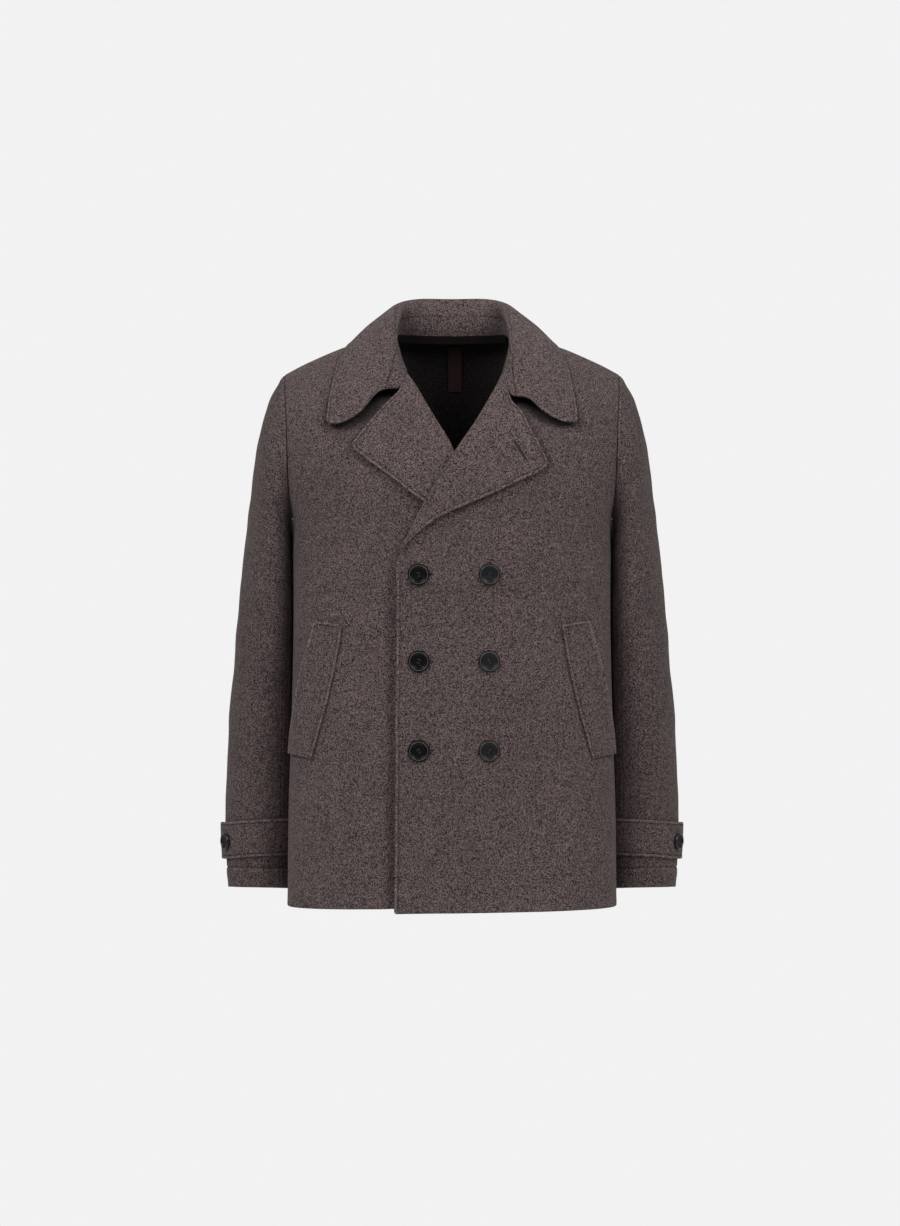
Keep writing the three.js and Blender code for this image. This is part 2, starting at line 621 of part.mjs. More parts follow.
// The whole collar as one curved sheet, cut into stand and fall at their seam
function collarPoint(side, u, w) {
  const row = collarAt(Math.min(u, COLLAR_END_FROM));
  const isEnd = u > COLLAR_END_FROM;
  const neck = new THREE.Vector3(side * row.nx, row.ny, row.nz);
  const roll = new THREE.Vector3(side * row.rx, row.ry, row.rz);
  const outer = new THREE.Vector3(side * row.ox, row.oy, row.oz);
  const stand = new THREE.Vector3().subVectors(roll, neck);
  const fall = new THREE.Vector3().subVectors(outer, roll);
  const out = new THREE.Vector3(outer.x, outer.y, 0).normalize();
  const up = new THREE.Vector3(0, 0, 1);
  const curve = new THREE.CatmullRomCurve3([
    neck,
    neck.clone().addScaledVector(stand, 0.5),
    neck.clone().addScaledVector(stand, 0.88),
    roll.clone().addScaledVector(out, 2.5),
    roll.clone().addScaledVector(fall, 0.12).addScaledVector(out, 4).addScaledVector(up, 3),
    roll.clone().addScaledVector(fall, 0.5).addScaledVector(out, 5).addScaledVector(up, 4),
    outer,
  ], false, 'centripetal');
  const point = curve.getPoint(w);
  if (!isEnd) return point;
  const end = reader(byLength(side > 0 ? COLLAR_END_LEFT : COLLAR_END_RIGHT), 's');
  const start = 0.42;
  const place = end(clamp01((w - start) / (1 - start)));
  const height = mix(7.5, 9, Math.sin(Math.PI * clamp01((w - start) / (1 - start))));
  const last = overFront(side, place.x, place.z, height);
  const inside = neck.clone().lerp(last, clamp01(w / start));
  const target = w < start ? inside : last;
  return point.lerp(target, ease(u, COLLAR_END_FROM, 1));
}

function addCollar() {
  const seamShare = (u) => mix(0.24, 0.62, ease(u, 0.25, 0.95));
  const build = (name, from, to, cells) => {
    const centre = grid(COLLAR_CELLS, cells, (along, across) => {
      const signed = 2 * along - 1;
      const u = Math.abs(signed);
      return collarPoint(signed < 0 ? -1 : 1, u, mix(from(u), to(u), across));
    });
    const facing = (point) => new THREE.Vector3(point.x, point.y + 10, 30);
    const normals = gridNormals(centre, facing);
    const outer = movedGrid(centre, normals, COLLAR_CLOTH / 2);
    const inner = movedGrid(centre, normals, -COLLAR_CLOTH / 2);
    addPiece(name, closedGeometry(outer, inner), materials.cloth);
  };
  build('collar_stand', () => 0, (u) => seamShare(u) - COLLAR_SEAM_HALF, 5);
  build('collar', (u) => seamShare(u) + COLLAR_SEAM_HALF, () => 1, 8);
}

// Armhole seam of one side as a closed line; 0 is the shoulder tip, a half turn is the underarm
function armholeLine(isFront) {
  const points = [];
  const steps = 40;
  for (let k = 0; k <= steps; k += 1) {
    const z = mix(SHOULDER_TIP_Z, ARMHOLE_BOTTOM_Z, (1 - Math.cos((Math.PI * k) / steps)) / 2);
    points.push(bodySurface(armholeAt(z).x, z, isFront));
  }
  return new THREE.CatmullRomCurve3(points);
}
const armholeFront = armholeLine(true);
const armholeBack = armholeLine(false);

function bodyHalfWidth(y, z) {
  const section = sectionAt(z);
  const isFront = y < section.side;
  const depth = (isFront ? section.front : section.back) - section.side;
  const roundness = isFront ? FRONT_ROUNDNESS : BACK_ROUNDNESS;
  const share = Math.min(Math.abs((y - section.side) / depth), 1);
  return section.half * (1 - share ** roundness) ** (1 / roundness);
}

// A ring of the wearer's left sleeve before it is fitted to the armhole
function ringPoint(angle, l) {
  const ring = ringAt(l);
  const turn = radians(angle);
  const lean = Math.cos(turn);
  return new THREE.Vector3(
    mix(ring.xi, ring.xo, (1 + lean) / 2),
    ring.y + ring.depth * Math.sin(turn),
    mix(ring.zi, ring.zo, (1 + lean) / 2),
  );
}

// Outer surface of the wearer's left sleeve, round it by angle and along it
function sleevePoint(turned, l) {
  const angle = turned > 180 ? turned - 360 : turned;
  const turn = radians(angle);
  const seam = (angle < 0 ? armholeFront : armholeBack).getPointAt(Math.min(Math.abs(angle) / 180, 1));
  seam.x += ARMHOLE_GAP;
  const fit = seam.sub(ringPoint(angle, 0)).multiplyScalar(1 - ease(l, 0, SLEEVE_FIT_END));
  const point = ringPoint(angle, l).add(fit);
  const fold = foldDepth(SLEEVE_FOLDS, angle, l, SLEEVE_DEGREE);
  point.x += fold * Math.cos(turn);
  point.y += fold * Math.sin(turn);
  if (point.z < ARMHOLE_BOTTOM_Z + 20 && l > 0) {
    const clear = bodyHalfWidth(point.y, point.z) + SLEEVE_CLEARANCE * Math.min(l / 0.08, 1);
    point.x = Math.max(point.x, clear);
  }
  return point;
}

function sleeveNormal(angle, l, isArmhole) {
  const turn = radians(angle);
  if (isArmhole) return new THREE.Vector3(0, Math.sin(turn), Math.cos(turn));
  const turnStep = 4;
  const step = 0.012;
  const round = sleevePoint(angle + turnStep, l).sub(sleevePoint(angle - turnStep, l));
  const along = sleevePoint(angle, Math.min(l + step, 1)).sub(sleevePoint(angle, Math.max(l - step, 0)));
  return along.cross(round).normalize();
}

function mirrored(rows, side) {
  rows.flat().forEach((point) => {
    point.x *= side;
  });
  return rows;
}

function addSleevePiece(side, name, from, to, cells) {
  const lengthAt = (share) => share ** 1.25;
  const outer = grid(SLEEVE_CELLS.along, cells, (along, across) => (
    sleevePoint(mix(from, to, across), lengthAt(along))
  ));
  const normals = grid(SLEEVE_CELLS.along, cells, (along, across, i) => (
    sleeveNormal(mix(from, to, across), lengthAt(along), i === 0)
  ));
  const inner = movedGrid(outer, normals, -CLOTH);
  mirrored(outer, side);
  mirrored(inner, side);
  addPiece(name, closedGeometry(outer, inner), materials.cloth);
}

function addSleeve(side, word) {
  const gap = SLEEVE_SEAM_HALF;
  const { top, under } = SLEEVE_CELLS;
  addSleevePiece(side, `sleeve_${word}_top`, SLEEVE_SEAM_FRONT + gap, SLEEVE_SEAM_BACK - gap, top);
  addSleevePiece(side, `sleeve_${word}_under`, SLEEVE_SEAM_BACK + gap, 360 + SLEEVE_SEAM_FRONT - gap, under);
}

// The same sleeve, read by height instead of by length
function lengthAtHeight(angle, z) {
  let low = 0.3;
  let high = 1;
  for (let k = 0; k < 30; k += 1) {
    const half = (low + high) / 2;
    if (sleevePoint(angle, half).z > z) low = half;
    else high = half;
  }
  return (low + high) / 2;
}

function onSleeve(angle, z, lift) {
  const l = lengthAtHeight(angle, z);
  return sleevePoint(angle, l).addScaledVector(sleeveNormal(angle, l, false), lift);
}

// Flat strips laid on a surface: the same grid at two heights
function addLaid(name, rows, columns, pointAt, seat, thickness, material) {
  const outer = grid(rows, columns, (a, b) => pointAt(a, b, seat + thickness));
  const inner = grid(rows, columns, (a, b) => pointAt(a, b, seat));
  return addPiece(name, closedGeometry(outer, inner), material);
}

function addStrap(side, word) {
  const pointAt = (around, down, lift) => {
    const tongue = STRAP.to - 7 * (2 * down - 1) ** 2;
    const point = onSleeve(mix(STRAP.from, tongue, around), mix(STRAP.top, STRAP.bottom, down), lift);
    point.x *= side;
    return point;
  };
  return addLaid(`strap_${word}`, STRAP_CELLS, 2, pointAt, STRAP_SEAT, STRAP_CLOTH, materials.cloth);
}

function addWelt(side, word) {
  const { along, across } = WELT_CELLS;
  const pointAt = (down, outward, lift) => {
    const row = weltAt(down);
    return overFront(side, side * mix(row.xi, row.xo, outward), mix(row.zi, row.zo, outward), lift);
  };
  addLaid(`welt_${word}`, along, across, pointAt, WELT_SEAT, WELT_CLOTH, materials.cloth);
}

// Tape over the neck seam, inside the stand, and the hanger strip below it
function addNeckTape() {
  const pointAt = (along, up, lift) => {
    const signed = mix(-NECK_TAPE.reach, NECK_TAPE.reach, along);
    const row = collarAt(Math.abs(signed));
    const x = Math.sign(signed) * row.nx;
    const inward = new THREE.Vector3(-x, -row.ny, 0).normalize();
    return new THREE.Vector3(x, row.ny, row.nz + mix(NECK_TAPE.bottom, NECK_TAPE.top, up))
      .addScaledVector(inward, COLLAR_CLOTH / 2 + lift);
  };
  addLaid('neck_tape', NECK_TAPE.cells, 1, pointAt, NECK_TAPE.seat, TAPE_CLOTH, materials.tape);
}

function addHangerStrip() {
  const pointAt = (down, across, lift) => {
    const x = mix(HANGER_STRIP.middle, HANGER_STRIP.middle + HANGER_STRIP.width, across - 0.5);
    const z = mix(HANGER_STRIP.top, HANGER_STRIP.bottom, down);
    const clear = CLOTH + HANGER_STRIP.away * (1 - down) ** 2;
    return bodySurface(x, z, false).addScaledVector(surfaceNormal(x, z, false), -clear - lift);
  };
  addLaid('hanger_strip', HANGER_STRIP.cells, 2, pointAt, HANGER_STRIP.seat, TAPE_CLOTH, materials.tape);
}

// Buttons: a rimmed disc with four holes, standing on the highest point of the cloth beneath
function manifoldOf(geometry) {
  const bare = geometry.clone();
  bare.deleteAttribute('normal');
  bare.deleteAttribute('uv');
  const merged = mergeVertices(bare, 1e-3);
  return new wasm.Manifold(new wasm.Mesh({
    numProp: 3,
    vertProperties: new Float32Array(merged.attributes.position.array),
    triVerts: new Uint32Array(merged.index.array),
  }));
}

function geometryOf(solid) {
  const { vertProperties, triVerts } = solid.getMesh();
  const geometry = new THREE.BufferGeometry();
  geometry.setAttribute('position', new THREE.Float32BufferAttribute(vertProperties, 3));
  geometry.setIndex(Array.from(triVerts));
  geometry.computeVertexNormals();
  return geometry;
}

function buttonGeometry(diameter) {
  const radius = diameter / 2;
  const profile = BUTTON.profile.map(({ r, height }) => new THREE.Vector2(r * radius, height));
  const disc = new THREE.LatheGeometry(profile, BUTTON.sides).rotateX(Math.PI / 2);
  let solid = manifoldOf(disc);
  for (let k = 0; k < 4; k += 1) {
    const turn = radians(45 + 90 * k);
    const hole = new THREE.CylinderGeometry(BUTTON.hole / 2, BUTTON.hole / 2, 12, 8).rotateX(Math.PI / 2);
    hole.translate(BUTTON.holeCircle * Math.cos(turn), BUTTON.holeCircle * Math.sin(turn), 0);
    solid = solid.subtract(manifoldOf(hole));
  }
  return geometryOf(solid);
}

function addButton(name, carrier, place, normal, diameter) {
  carrier.updateMatrixWorld();
  const ray = new THREE.Raycaster();
  const turned = new THREE.Quaternion().setFromUnitVectors(new THREE.Vector3(0, 0, 1), normal);
  let highest = -Infinity;
  for (let k = 0; k <= 12; k += 1) {
    const reach = k === 0 ? 0 : diameter * 0.42;
    const turn = (Math.PI / 6) * k;
    const start = new THREE.Vector3(reach * Math.cos(turn), reach * Math.sin(turn), 40);
    ray.set(start.applyQuaternion(turned).add(place), normal.clone().negate());
    const [hit] = ray.intersectObject(carrier);
    if (hit) highest = Math.max(highest, hit.point.sub(place).dot(normal));
  }
  const button = addPiece(name, buttonGeometry(diameter), materials.button);
  button.quaternion.copy(turned);
  button.position.copy(place).addScaledVector(normal, highest + BUTTON_SEAT);
}

addBack(1, 'back_left');
addBack(-1, 'back_right');
const topFront = addFront(1, 'front_left');
addFront(-1, 'front_right');
addLapel(1, 'lapel_left', LAPEL_LEFT);
addLapel(-1, 'lapel_right', LAPEL_RIGHT);
addCollar();
addNeckTape();
addHangerStrip();

for (const { side, word } of [{ side: 1, word: 'left' }, { side: -1, word: 'right' }]) {
  addSleeve(side, word);
  addWelt(side, word);
  const strap = addStrap(side, word);
  const middle = (STRAP.top + STRAP.bottom) / 2;
  const place = onSleeve(STRAP.buttonAngle, middle, STRAP_SEAT + STRAP_CLOTH);
  const normal = sleeveNormal(STRAP.buttonAngle, lengthAtHeight(STRAP.buttonAngle, middle), false);
  place.x *= side;
  normal.x *= side;
  addButton(`cuff_button_${word}`, strap, place, normal, CUFF_BUTTON_DIAMETER);
}

for (const { name, x } of BUTTON_COLUMNS) {
  BUTTON_ROWS.forEach((z, row) => {
    const place = overFront(1, x, z, 0);
    addButton(`button_${name}_${row + 1}`, topFront, place, surfaceNormal(x, z, true), BUTTON_DIAMETER);
  });
}

export default group;
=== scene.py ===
"""Pea coat in melton wool, double-breasted, filled out as if someone had it on, with nobody in it.

Lengths in the tables are millimetres; the meshes are in metres.
+Z is up, the front faces -Y, and +X is the wearer's left.
"""

import math

import bmesh
import bpy
import numpy as np
from bpy.props import FloatProperty, FloatVectorProperty, IntProperty, PointerProperty
from mathutils import Matrix, Vector


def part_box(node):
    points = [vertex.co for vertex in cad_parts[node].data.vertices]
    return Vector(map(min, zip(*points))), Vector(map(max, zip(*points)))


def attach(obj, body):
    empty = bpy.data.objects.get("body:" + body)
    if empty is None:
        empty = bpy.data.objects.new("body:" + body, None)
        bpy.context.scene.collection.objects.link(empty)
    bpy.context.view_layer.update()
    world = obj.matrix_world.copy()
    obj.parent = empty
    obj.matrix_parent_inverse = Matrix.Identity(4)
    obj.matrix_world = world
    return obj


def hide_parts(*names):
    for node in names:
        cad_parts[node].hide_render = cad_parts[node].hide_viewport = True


bl_info = {
    "name": "Pea coat",
    "version": (1, 0, 0),
    "blender": (4, 5, 0),
    "location": "3D View > Sidebar > Pea coat",
    "description": "Builds a double-breasted pea coat in melton wool, piece by piece",
    "category": "Object",
}

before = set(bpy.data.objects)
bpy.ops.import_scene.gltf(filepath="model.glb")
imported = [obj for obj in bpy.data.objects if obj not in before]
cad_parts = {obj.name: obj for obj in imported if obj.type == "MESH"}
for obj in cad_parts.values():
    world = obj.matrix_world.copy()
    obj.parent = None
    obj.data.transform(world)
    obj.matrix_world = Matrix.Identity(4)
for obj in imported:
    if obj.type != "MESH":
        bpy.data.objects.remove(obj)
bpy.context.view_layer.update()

MM = 0.001
BODY = "root"

# Shoulder seam from the neck to the sleeve head
TIP_X, TIP_Z = 217.6, -51
SHOULDER = {
    "x": (0, 74, 131, 185, TIP_X, 245),
    "z": (2, 0, -12, -34, TIP_Z, -68),
}
# Level sections of the body: half width, front and back at the middle, and side seam
SECTIONS = {
    "z": (-745, -612, -520, -430, -360, -290, -236, -190, -120, -51, 40),
    "half": (213, 211.5, 208.5, 206, 205, 205.5, 206.5, 221, 232, 238, 242),
    "front": (-131, -132, -134, -136, -138, -141, -142, -142, -140, -135, -128),
    "back": (122, 118, 112, 109, 111, 118, 124, 127, 126, 120, 112),
    "side": (-15, -15, -15, -15, -15, -15, -15, -11, -6, -2, 0),
}
ROUNDNESS = {True: 2.6, False: 2.5}
# How far below the shoulder seam a side reaches its full depth: near neck, at tip, and power
DOME = {True: (220, 120, 0.65), False: (175, 110, 0.45)}
DOME_FROM_X = 100
NECK_HALF, NECK_BACK = 74, 68
ARMHOLE_BOTTOM_Z = -236
ARMHOLE = {
    "z": (ARMHOLE_BOTTOM_Z, -214, -182, -123, -96, TIP_Z),
    "x": (206.5, 208.8, 210.6, 212.5, 214.5, TIP_X),
}
HEM_Z = -739
UNDER_HEM_RISE, OVER_HEM_DROP = 6, 2.2
# Rows of a front from hem to shoulder: free edge and roll line inside, side outside
FRONT_ROWS = {
    "v": (0, 0.12, 0.24, 0.36, 0.46, 0.53, 0.58, 0.63, 0.68, 0.73, 0.78, 0.83, 0.88, 0.91,
          0.94, 0.97, 0.985, 1),
    "xIn": (-72.7, -71.6, -70.8, -70.2, -69.6, -69.2, -68.6, -51.8, -38, -17.7, 1.3, 25.4, 49.8,
            59.5, 67, 72, 74, 74),
    "zIn": (HEM_Z, -645, -550, -455, -375, -322, -289, -252, -220, -186, -154.8, -119, -76.7,
            -57, -38, -18, -7, 0),
    "zOut": (HEM_Z + 1, -645, -548, -448, -360, -298, -262, ARMHOLE_BOTTOM_Z, -219, -201, -178,
             -150, -119, -100, -83, -67, -58, TIP_Z),
}
BREAK_V, GORGE_V = 0.58, 0.9165
LAPEL_WRAP = 4.2
LAPEL_TURN = (0.89, 0.46)
UNDER_EDGE_SHIFT, OVER_EDGE_SHIFT = 8.3, 2.6
BACK_ROWS = {
    "v": (0, 0.15, 0.3, 0.42, 0.53, 0.63, 0.71, 0.8, 0.87, 0.92, 0.96, 1),
    "zIn": (HEM_Z + UNDER_HEM_RISE, -640, -530, -430, -335, -240, -170, -105, -58, -30, -12, 2),
    "zOut": (HEM_Z + 1, -640, -530, -430, -335, ARMHOLE_BOTTOM_Z, -205, -160, -118, -88, -68,
             TIP_Z),
}
OVER_LIFT_FRONT, OVER_LIFT_LAPEL = 3.2, 4.7
OVER_EDGE_LIFT, OVER_EDGE_WIDTH = 3.2, 16
# Lapel outlines from the break of the roll to the tip, and from the gorge to the tip
LAPELS = {
    1: {
        "lower": ((-65.5, -287), (-53, -268), (-21.5, -242.5), (8.8, -227.5), (49.2, -210.5),
                  (92.3, -190), (111.5, -181), (123, -171)),
        "upper": ((66, -51), (74, -86), (88, -103), (98, -123.5), (109, -143), (123, -171)),
    },
    -1: {
        "lower": ((65.5, -287), (53, -270), (21.5, -247), (-9, -232), (-38, -218), (-77, -188.5),
                  (-119, -157), (-128.5, -146)),
        "upper": ((-58.5, -53), (-65.5, -75), (-76, -86), (-88, -98), (-108, -121),
                  (-128.5, -146)),
    },
}
# Collar from the centre back (0) to its front end (1): neck seam, roll and outer edge
COLLAR = {
    "u": (0, 0.2, 0.4, 0.56, 0.7, 0.85),
    "nx": (0, 39, 64.5, 71.8, 71, 64),
    "ny": (64.4, 53.5, 25.6, 0, -24, -51),
    "nz": (1, 1, 0, -2, -11, -36),
    "rx": (0, 44, 69.5, 75, 75.5, 70.5),
    "ry": (78, 66, 36, 4, -30, -58),
    "rz": (53, 52, 43, 29, 4, -27),
    "ox": (0, 64, 113, 131, 146.5, 157),
    "oy": (104, 90, 52, 2, -42, -88),
    "oz": (-19, -19, -22, -10.5, -37, -86),
}
COLLAR_END_FROM = 0.85
COLLAR_ENDS = {
    1: ((65.5, -52), (75, -81.5), (82, -84), (97, -86.5), (117, -104), (140, -116),
        (160.7, -117.5)),
    -1: ((-57.6, -52.5), (-67, -72), (-82, -74), (-95, -79), (-118, -105), (-143, -119),
         (-160.7, -117.5)),
}
# Height of the collar's front end over the front, from the gorge to the tip
COLLAR_END_HEIGHT = {"free": (0, 0.14, 0.27, 0.38, 0.52, 0.75, 1), "up": (3.2, 3.2, 4.6, 10, 13, 11.5, 9)}
# How far the stand leans in behind the neck, and its fold overhangs at the sides
STAND_BULGE, FOLD_BULGE = 4, 6.5
# How much farther out the neck edge lies on the wearer's left
NECK_EDGE_SHIFT = 6.5
# Seam of the stand and the fall: share across the collar
STAND_SEAM = {
    "u": (0, 0.45, 0.6, 0.7, 0.78, 0.85, 0.92, 1),
    "w": (0.19, 0.19, 0.15, 0.13, 0.28, 0.5, 0.57, 0.6),
}
# Hollow of a front under the lower edge of the collar, deepest at the notch, and painted shade in it
HOLLOW = {
    1: ((82, -84), (97, -90), (117, -106), (140, -118), (158, -119)),
    -1: ((-80, -77), (-95, -82), (-118, -107), (-143, -121), (-158, -119)),
}
HOLLOW_WIDTH, HOLLOW_DEPTH, HOLLOW_SHADE = 13, 16, -2.1
# Width of the hollow's painted shade at its far end and at the notch, and the share left at its end
SHADE_END_WIDTH, SHADE_WIDTH, SHADE_LEFT = 8, 12, 0.3
# Free edges of lapel and collar that lie close over a front, which gets painted shade beside them
CLOSE_EDGES = {
    1: (((75, -88), (89, -101), (98, -123), (110, -142), (125, -172)),
        ((133, -22), (145, -41), (151, -63), (156, -87), (161, -116))),
    -1: (((-66, -75), (-88, -96), (-108, -120), (-129, -145)),
         ((-133, -20), (-145, -39), (-151, -56), (-157, -87), (-161, -117))),
}
CLOSE_SHADE, CLOSE_WIDTH = -1.1, 2.2
# Painted shade of the lower front beside the edge of the upper one
BESIDE_EDGE = {"x": -76, "width": 6, "shade": -0.4, "from": -480, "to": -330}
# Painted shade over the sleeves, and painted light over the collar and lapels, against the body
SLEEVE_PAINTED_SHADE, COLLAR_PAINTED_LIGHT, LAPEL_PAINTED_LIGHT = -0.22, 0.2, 0.14
# Valley of the under front beside the edge of the top one
VALLEY = {"x": -75, "width": 9, "depth": 5.5, "from": -340, "to": -285}
# Sleeve rings: outermost point, innermost point, middle and half depth front to back
RINGS = {
    "l": (0, 0.04, 0.08, 0.13, 0.18, 0.24, 0.31, 0.39, 0.48, 0.58, 0.69, 0.8, 0.9, 1),
    "xo": (217.6, 226, 235, 243, 250, 256, 262, 268.5, 276, 284, 291.5, 296, 297.3, 294.5),
    "zo": (-51, -63, -80, -101, -128, -162, -205, -257, -325, -408, -500, -580, -655, -720),
    "xi": (206.9, 208.6, 209.5, 210, 209.5, 208, 206, 204, 203, 202.5, 203, 204, 206, 207.5),
    "zi": (-236, -241, -247, -256, -267, -284, -309, -345, -392, -453, -529, -596, -663, -722),
    "y": (-6, -4, -2, 0, 3, 6, 10, 14, 20, 28, 37, 45, 52, 57),
    "depth": (66, 71, 74, 76, 77, 76, 74, 72, 69, 65, 61, 57, 54, 52),
}
SLEEVE_SEAM_FRONT, SLEEVE_SEAM_BACK = -128, 118
SLEEVE_CLEARANCE = 2.6
# How far the inner back of a sleeve tucks in behind the body, and about which angle
SLEEVE_TUCK, TUCK_ANGLE, TUCK_WIDTH = 11, 148, 38
SLEEVE_FIT_END = 0.16
SLEEVE_DEGREE = 1 / 2400
# The cuff's hem stitches, and how far its edge rises in front
CUFF_HEM, CUFF_RISE = 26.5, 3.5
# Finer rows beside the cuff's hem stitches: how far they reach, their number, and the length
# of sleeve that their places are a share of
HEM_ROWS_REACH, HEM_ROWS, SLEEVE_LENGTH = 4.2, 13, 650
# How much smoother a sleeve is on its outside
SMOOTH_OUTSIDE = 0.75
STRAP = {"top": -634, "bottom": -682, "from": -152, "to": 7, "seat": 0.8}
# How far a strap climbs towards the body, and how far its tongue stands off the sleeve
STRAP_CLIMB, TONGUE_LIFT = 6.5, 2.2
# Slanted pocket welt: inner and outer edge at heights from top to bottom
WELT = {
    "t": (0, 0.3, 0.6, 0.85, 1),
    "xi": (138, 146, 157, 169, 177.5),
    "zi": (-375, -421, -471, -515, -546),
    "xo": (172, 186, 196.5, 203, 205.5),
    "zo": (-370, -420, -468, -512, -541),
}
WELT_CLOTH, WELT_SEAT, WELT_EDGE_LIFT = 2.6, 1.5, 2.2
NECK_TAPE = {"reach": 0.6, "bottom": -8, "top": 3, "seat": 0.4}
HANGER_STRIP = {"middle": 4, "width": 19, "top": -3, "bottom": -66, "seat": 1.2, "away": 5}
TAPE_CLOTH = 1.0
# Sewn edges overlap by a hair, so that no light comes between them
SEAM_GAP = -0.4
ARMHOLE_GAP = -0.1
SLEEVE_SEAM_HALF = -0.12

# Soft folds: ends, half width and depth; a negative depth is a trough
FRONT_FOLDS = (
    (-190, -325, -95, -352, 15, -3.2),
    (-185, -362, -105, -380, 14, 2.6),
    (-198, -250, -150, -298, 15, -3.5),
    (192, -318, 105, -350, 15, -3.0),
    (198, -252, 160, -290, 15, -3.6),
    (-120, -452, -85, -520, 17, -2.4),
    (105, -455, 128, -640, 20, -2.2),
    (-140, -560, -150, -735, 22, 2.6),
    (150, -590, 158, -735, 22, 2.8),
)
BACK_FOLDS = (
    (-188, -205, -130, -290, 17, -3.5),
    (188, -210, 135, -285, 17, -3.2),
    (-165, -352, -60, -384, 16, -3.4),
    (172, -340, 52, -372, 16, -3.0),
    (-120, -396, -20, -412, 15, 2.4),
    (-96, -540, -104, -738, 26, 3.4),
    (88, -520, 102, -738, 26, 3.6),
)
# On a sleeve the ends are degrees round it and shares of its length
SLEEVE_FOLDS = (
    (-60, 0.30, 40, 0.345, 0.022, -3.4),
    (-110, 0.40, -20, 0.43, 0.02, -3.0),
    (-100, 0.50, 10, 0.55, 0.022, -4.0),
    (20, 0.46, 120, 0.50, 0.022, -3.6),
    (-70, 0.62, 50, 0.60, 0.02, -2.6),
)
# Creases that a solid leaves out: ends, half width and depth, all uneven
FRONT_CREASES = (
    (-196, -268, -168, -300, 7, -1.6),
    (-188, -286, -150, -322, 8, 1.2),
    (-176, -398, -122, -408, 9, -1.1),
    (-66, -378, -20, -392, 9, -0.8),
    (-100, -590, -118, -700, 12, -1.2),
    (-176, -610, -182, -728, 10, -1.4),
    (198, -270, 172, -306, 7, -1.5),
    (186, -292, 148, -330, 8, 1.1),
    (172, -402, 118, -396, 9, -1.0),
    (84, -382, 20, -398, 10, -0.8),
    (60, -560, 66, -700, 14, -1.1),
    (182, -600, 188, -728, 10, -1.5),
    (118, -660, 124, -735, 9, 1.2),
    (-60, -470, -64, -520, 9, 0.7),
)
BACK_CREASES = (
    (-198, -242, -160, -276, 7, -1.7),
    (-186, -262, -140, -306, 8, 1.3),
    (196, -248, 166, -284, 7, -1.5),
    (184, -270, 146, -300, 9, 1.2),
    (-150, -330, -90, -342, 9, -1.4),
    (140, -396, 76, -404, 8, -1.3),
    (-46, -356, 38, -366, 10, -1.0),
    (30, -92, 70, -124, 12, -1.2),
    (-26, -84, -76, -120, 11, -1.3),
    (-150, -600, -158, -732, 12, -1.6),
    (-40, -580, -48, -732, 14, -1.3),
    (44, -612, 38, -732, 12, 1.4),
    (150, -570, 158, -732, 12, -1.5),
)
SLEEVE_CREASES = (
    (-120, 0.17, -60, 0.20, 0.010, -1.6),
    (-100, 0.215, -50, 0.25, 0.010, 1.2),
    (-86, 0.36, -10, 0.385, 0.009, -1.3),
    (-70, 0.455, 20, 0.47, 0.010, -1.6),
    (-120, 0.525, -60, 0.545, 0.009, 1.3),
    (-60, 0.575, 30, 0.585, 0.010, -1.3),
    (-40, 0.70, 60, 0.715, 0.011, -1.2),
    (-100, 0.78, -20, 0.77, 0.010, -1.0),
    (50, 0.205, 118, 0.19, 0.011, -1.5),
    (60, 0.40, 130, 0.425, 0.010, -1.6),
    (40, 0.55, 120, 0.565, 0.010, 1.4),
    (70, 0.60, 140, 0.59, 0.010, -1.3),
    (160, 0.33, 220, 0.36, 0.011, -1.5),
    (150, 0.48, 210, 0.50, 0.011, -1.8),
)
# Slow unevenness of felted cloth: height, waves per millimetre sideways and up, and phase
WAVES = (
    (0.34, 0.0110, 0.0071, 0.4),
    (0.30, -0.0063, 0.0124, 1.9),
    (0.22, 0.0171, -0.0093, 3.1),
    (0.16, 0.0042, 0.0210, 5.0),
    (0.12, -0.0260, 0.0150, 0.9),
)


def mix(a, b, share):
    return a + (b - a) * share


def ease(value, start, end):
    share = np.clip((value - start) / (end - start), 0, 1)
    return share * share * (3 - 2 * share)


def bell(distance, width):
    return np.exp(-((distance / width) ** 2))


def reader(table, key):
    """Reads a table at any value of its key column, with a smooth curve through its rows."""
    keys = np.array(table[key], float)
    last = len(keys) - 1
    before = np.maximum(np.arange(last + 1) - 1, 0)
    after = np.minimum(np.arange(last + 1) + 1, last)
    columns = {name: np.array(row, float) for name, row in table.items() if name != key}
    slopes = {
        name: (row[after] - row[before]) / (keys[after] - keys[before])
        for name, row in columns.items()
    }

    def read(value, name):
        value = np.asarray(value, float)
        i = np.clip(np.searchsorted(keys, value) - 1, 0, last - 1)
        length = keys[i + 1] - keys[i]
        t = np.clip((value - keys[i]) / length, 0, 1)
        row, slope = columns[name], slopes[name]
        return (
            row[i] * (2 * t**3 - 3 * t**2 + 1)
            + slope[i] * length * (t**3 - 2 * t**2 + t)
            + row[i + 1] * (3 * t**2 - 2 * t**3)
            + slope[i + 1] * length * (t**3 - t**2)
        )

    return read


def outline_reader(points):
    """Reads an outline of x and z by its share of the length along it."""
    points = np.array(points, float)
    steps = np.linalg.norm(np.diff(points, axis=0), axis=1)
    share = np.concatenate([[0], np.cumsum(steps)]) / steps.sum()
    return reader({"s": share, "x": points[:, 0], "z": points[:, 1]}, "s")


shoulder = reader(SHOULDER, "x")
section = reader(SECTIONS, "z")
armhole = reader(ARMHOLE, "z")
front_row = reader(FRONT_ROWS, "v")
back_row = reader(BACK_ROWS, "v")
ring = reader(RINGS, "l")
collar_row = reader(COLLAR, "u")
welt_row = reader(WELT, "t")
end_height = reader(COLLAR_END_HEIGHT, "free")
stand_seam = reader(STAND_SEAM, "u")


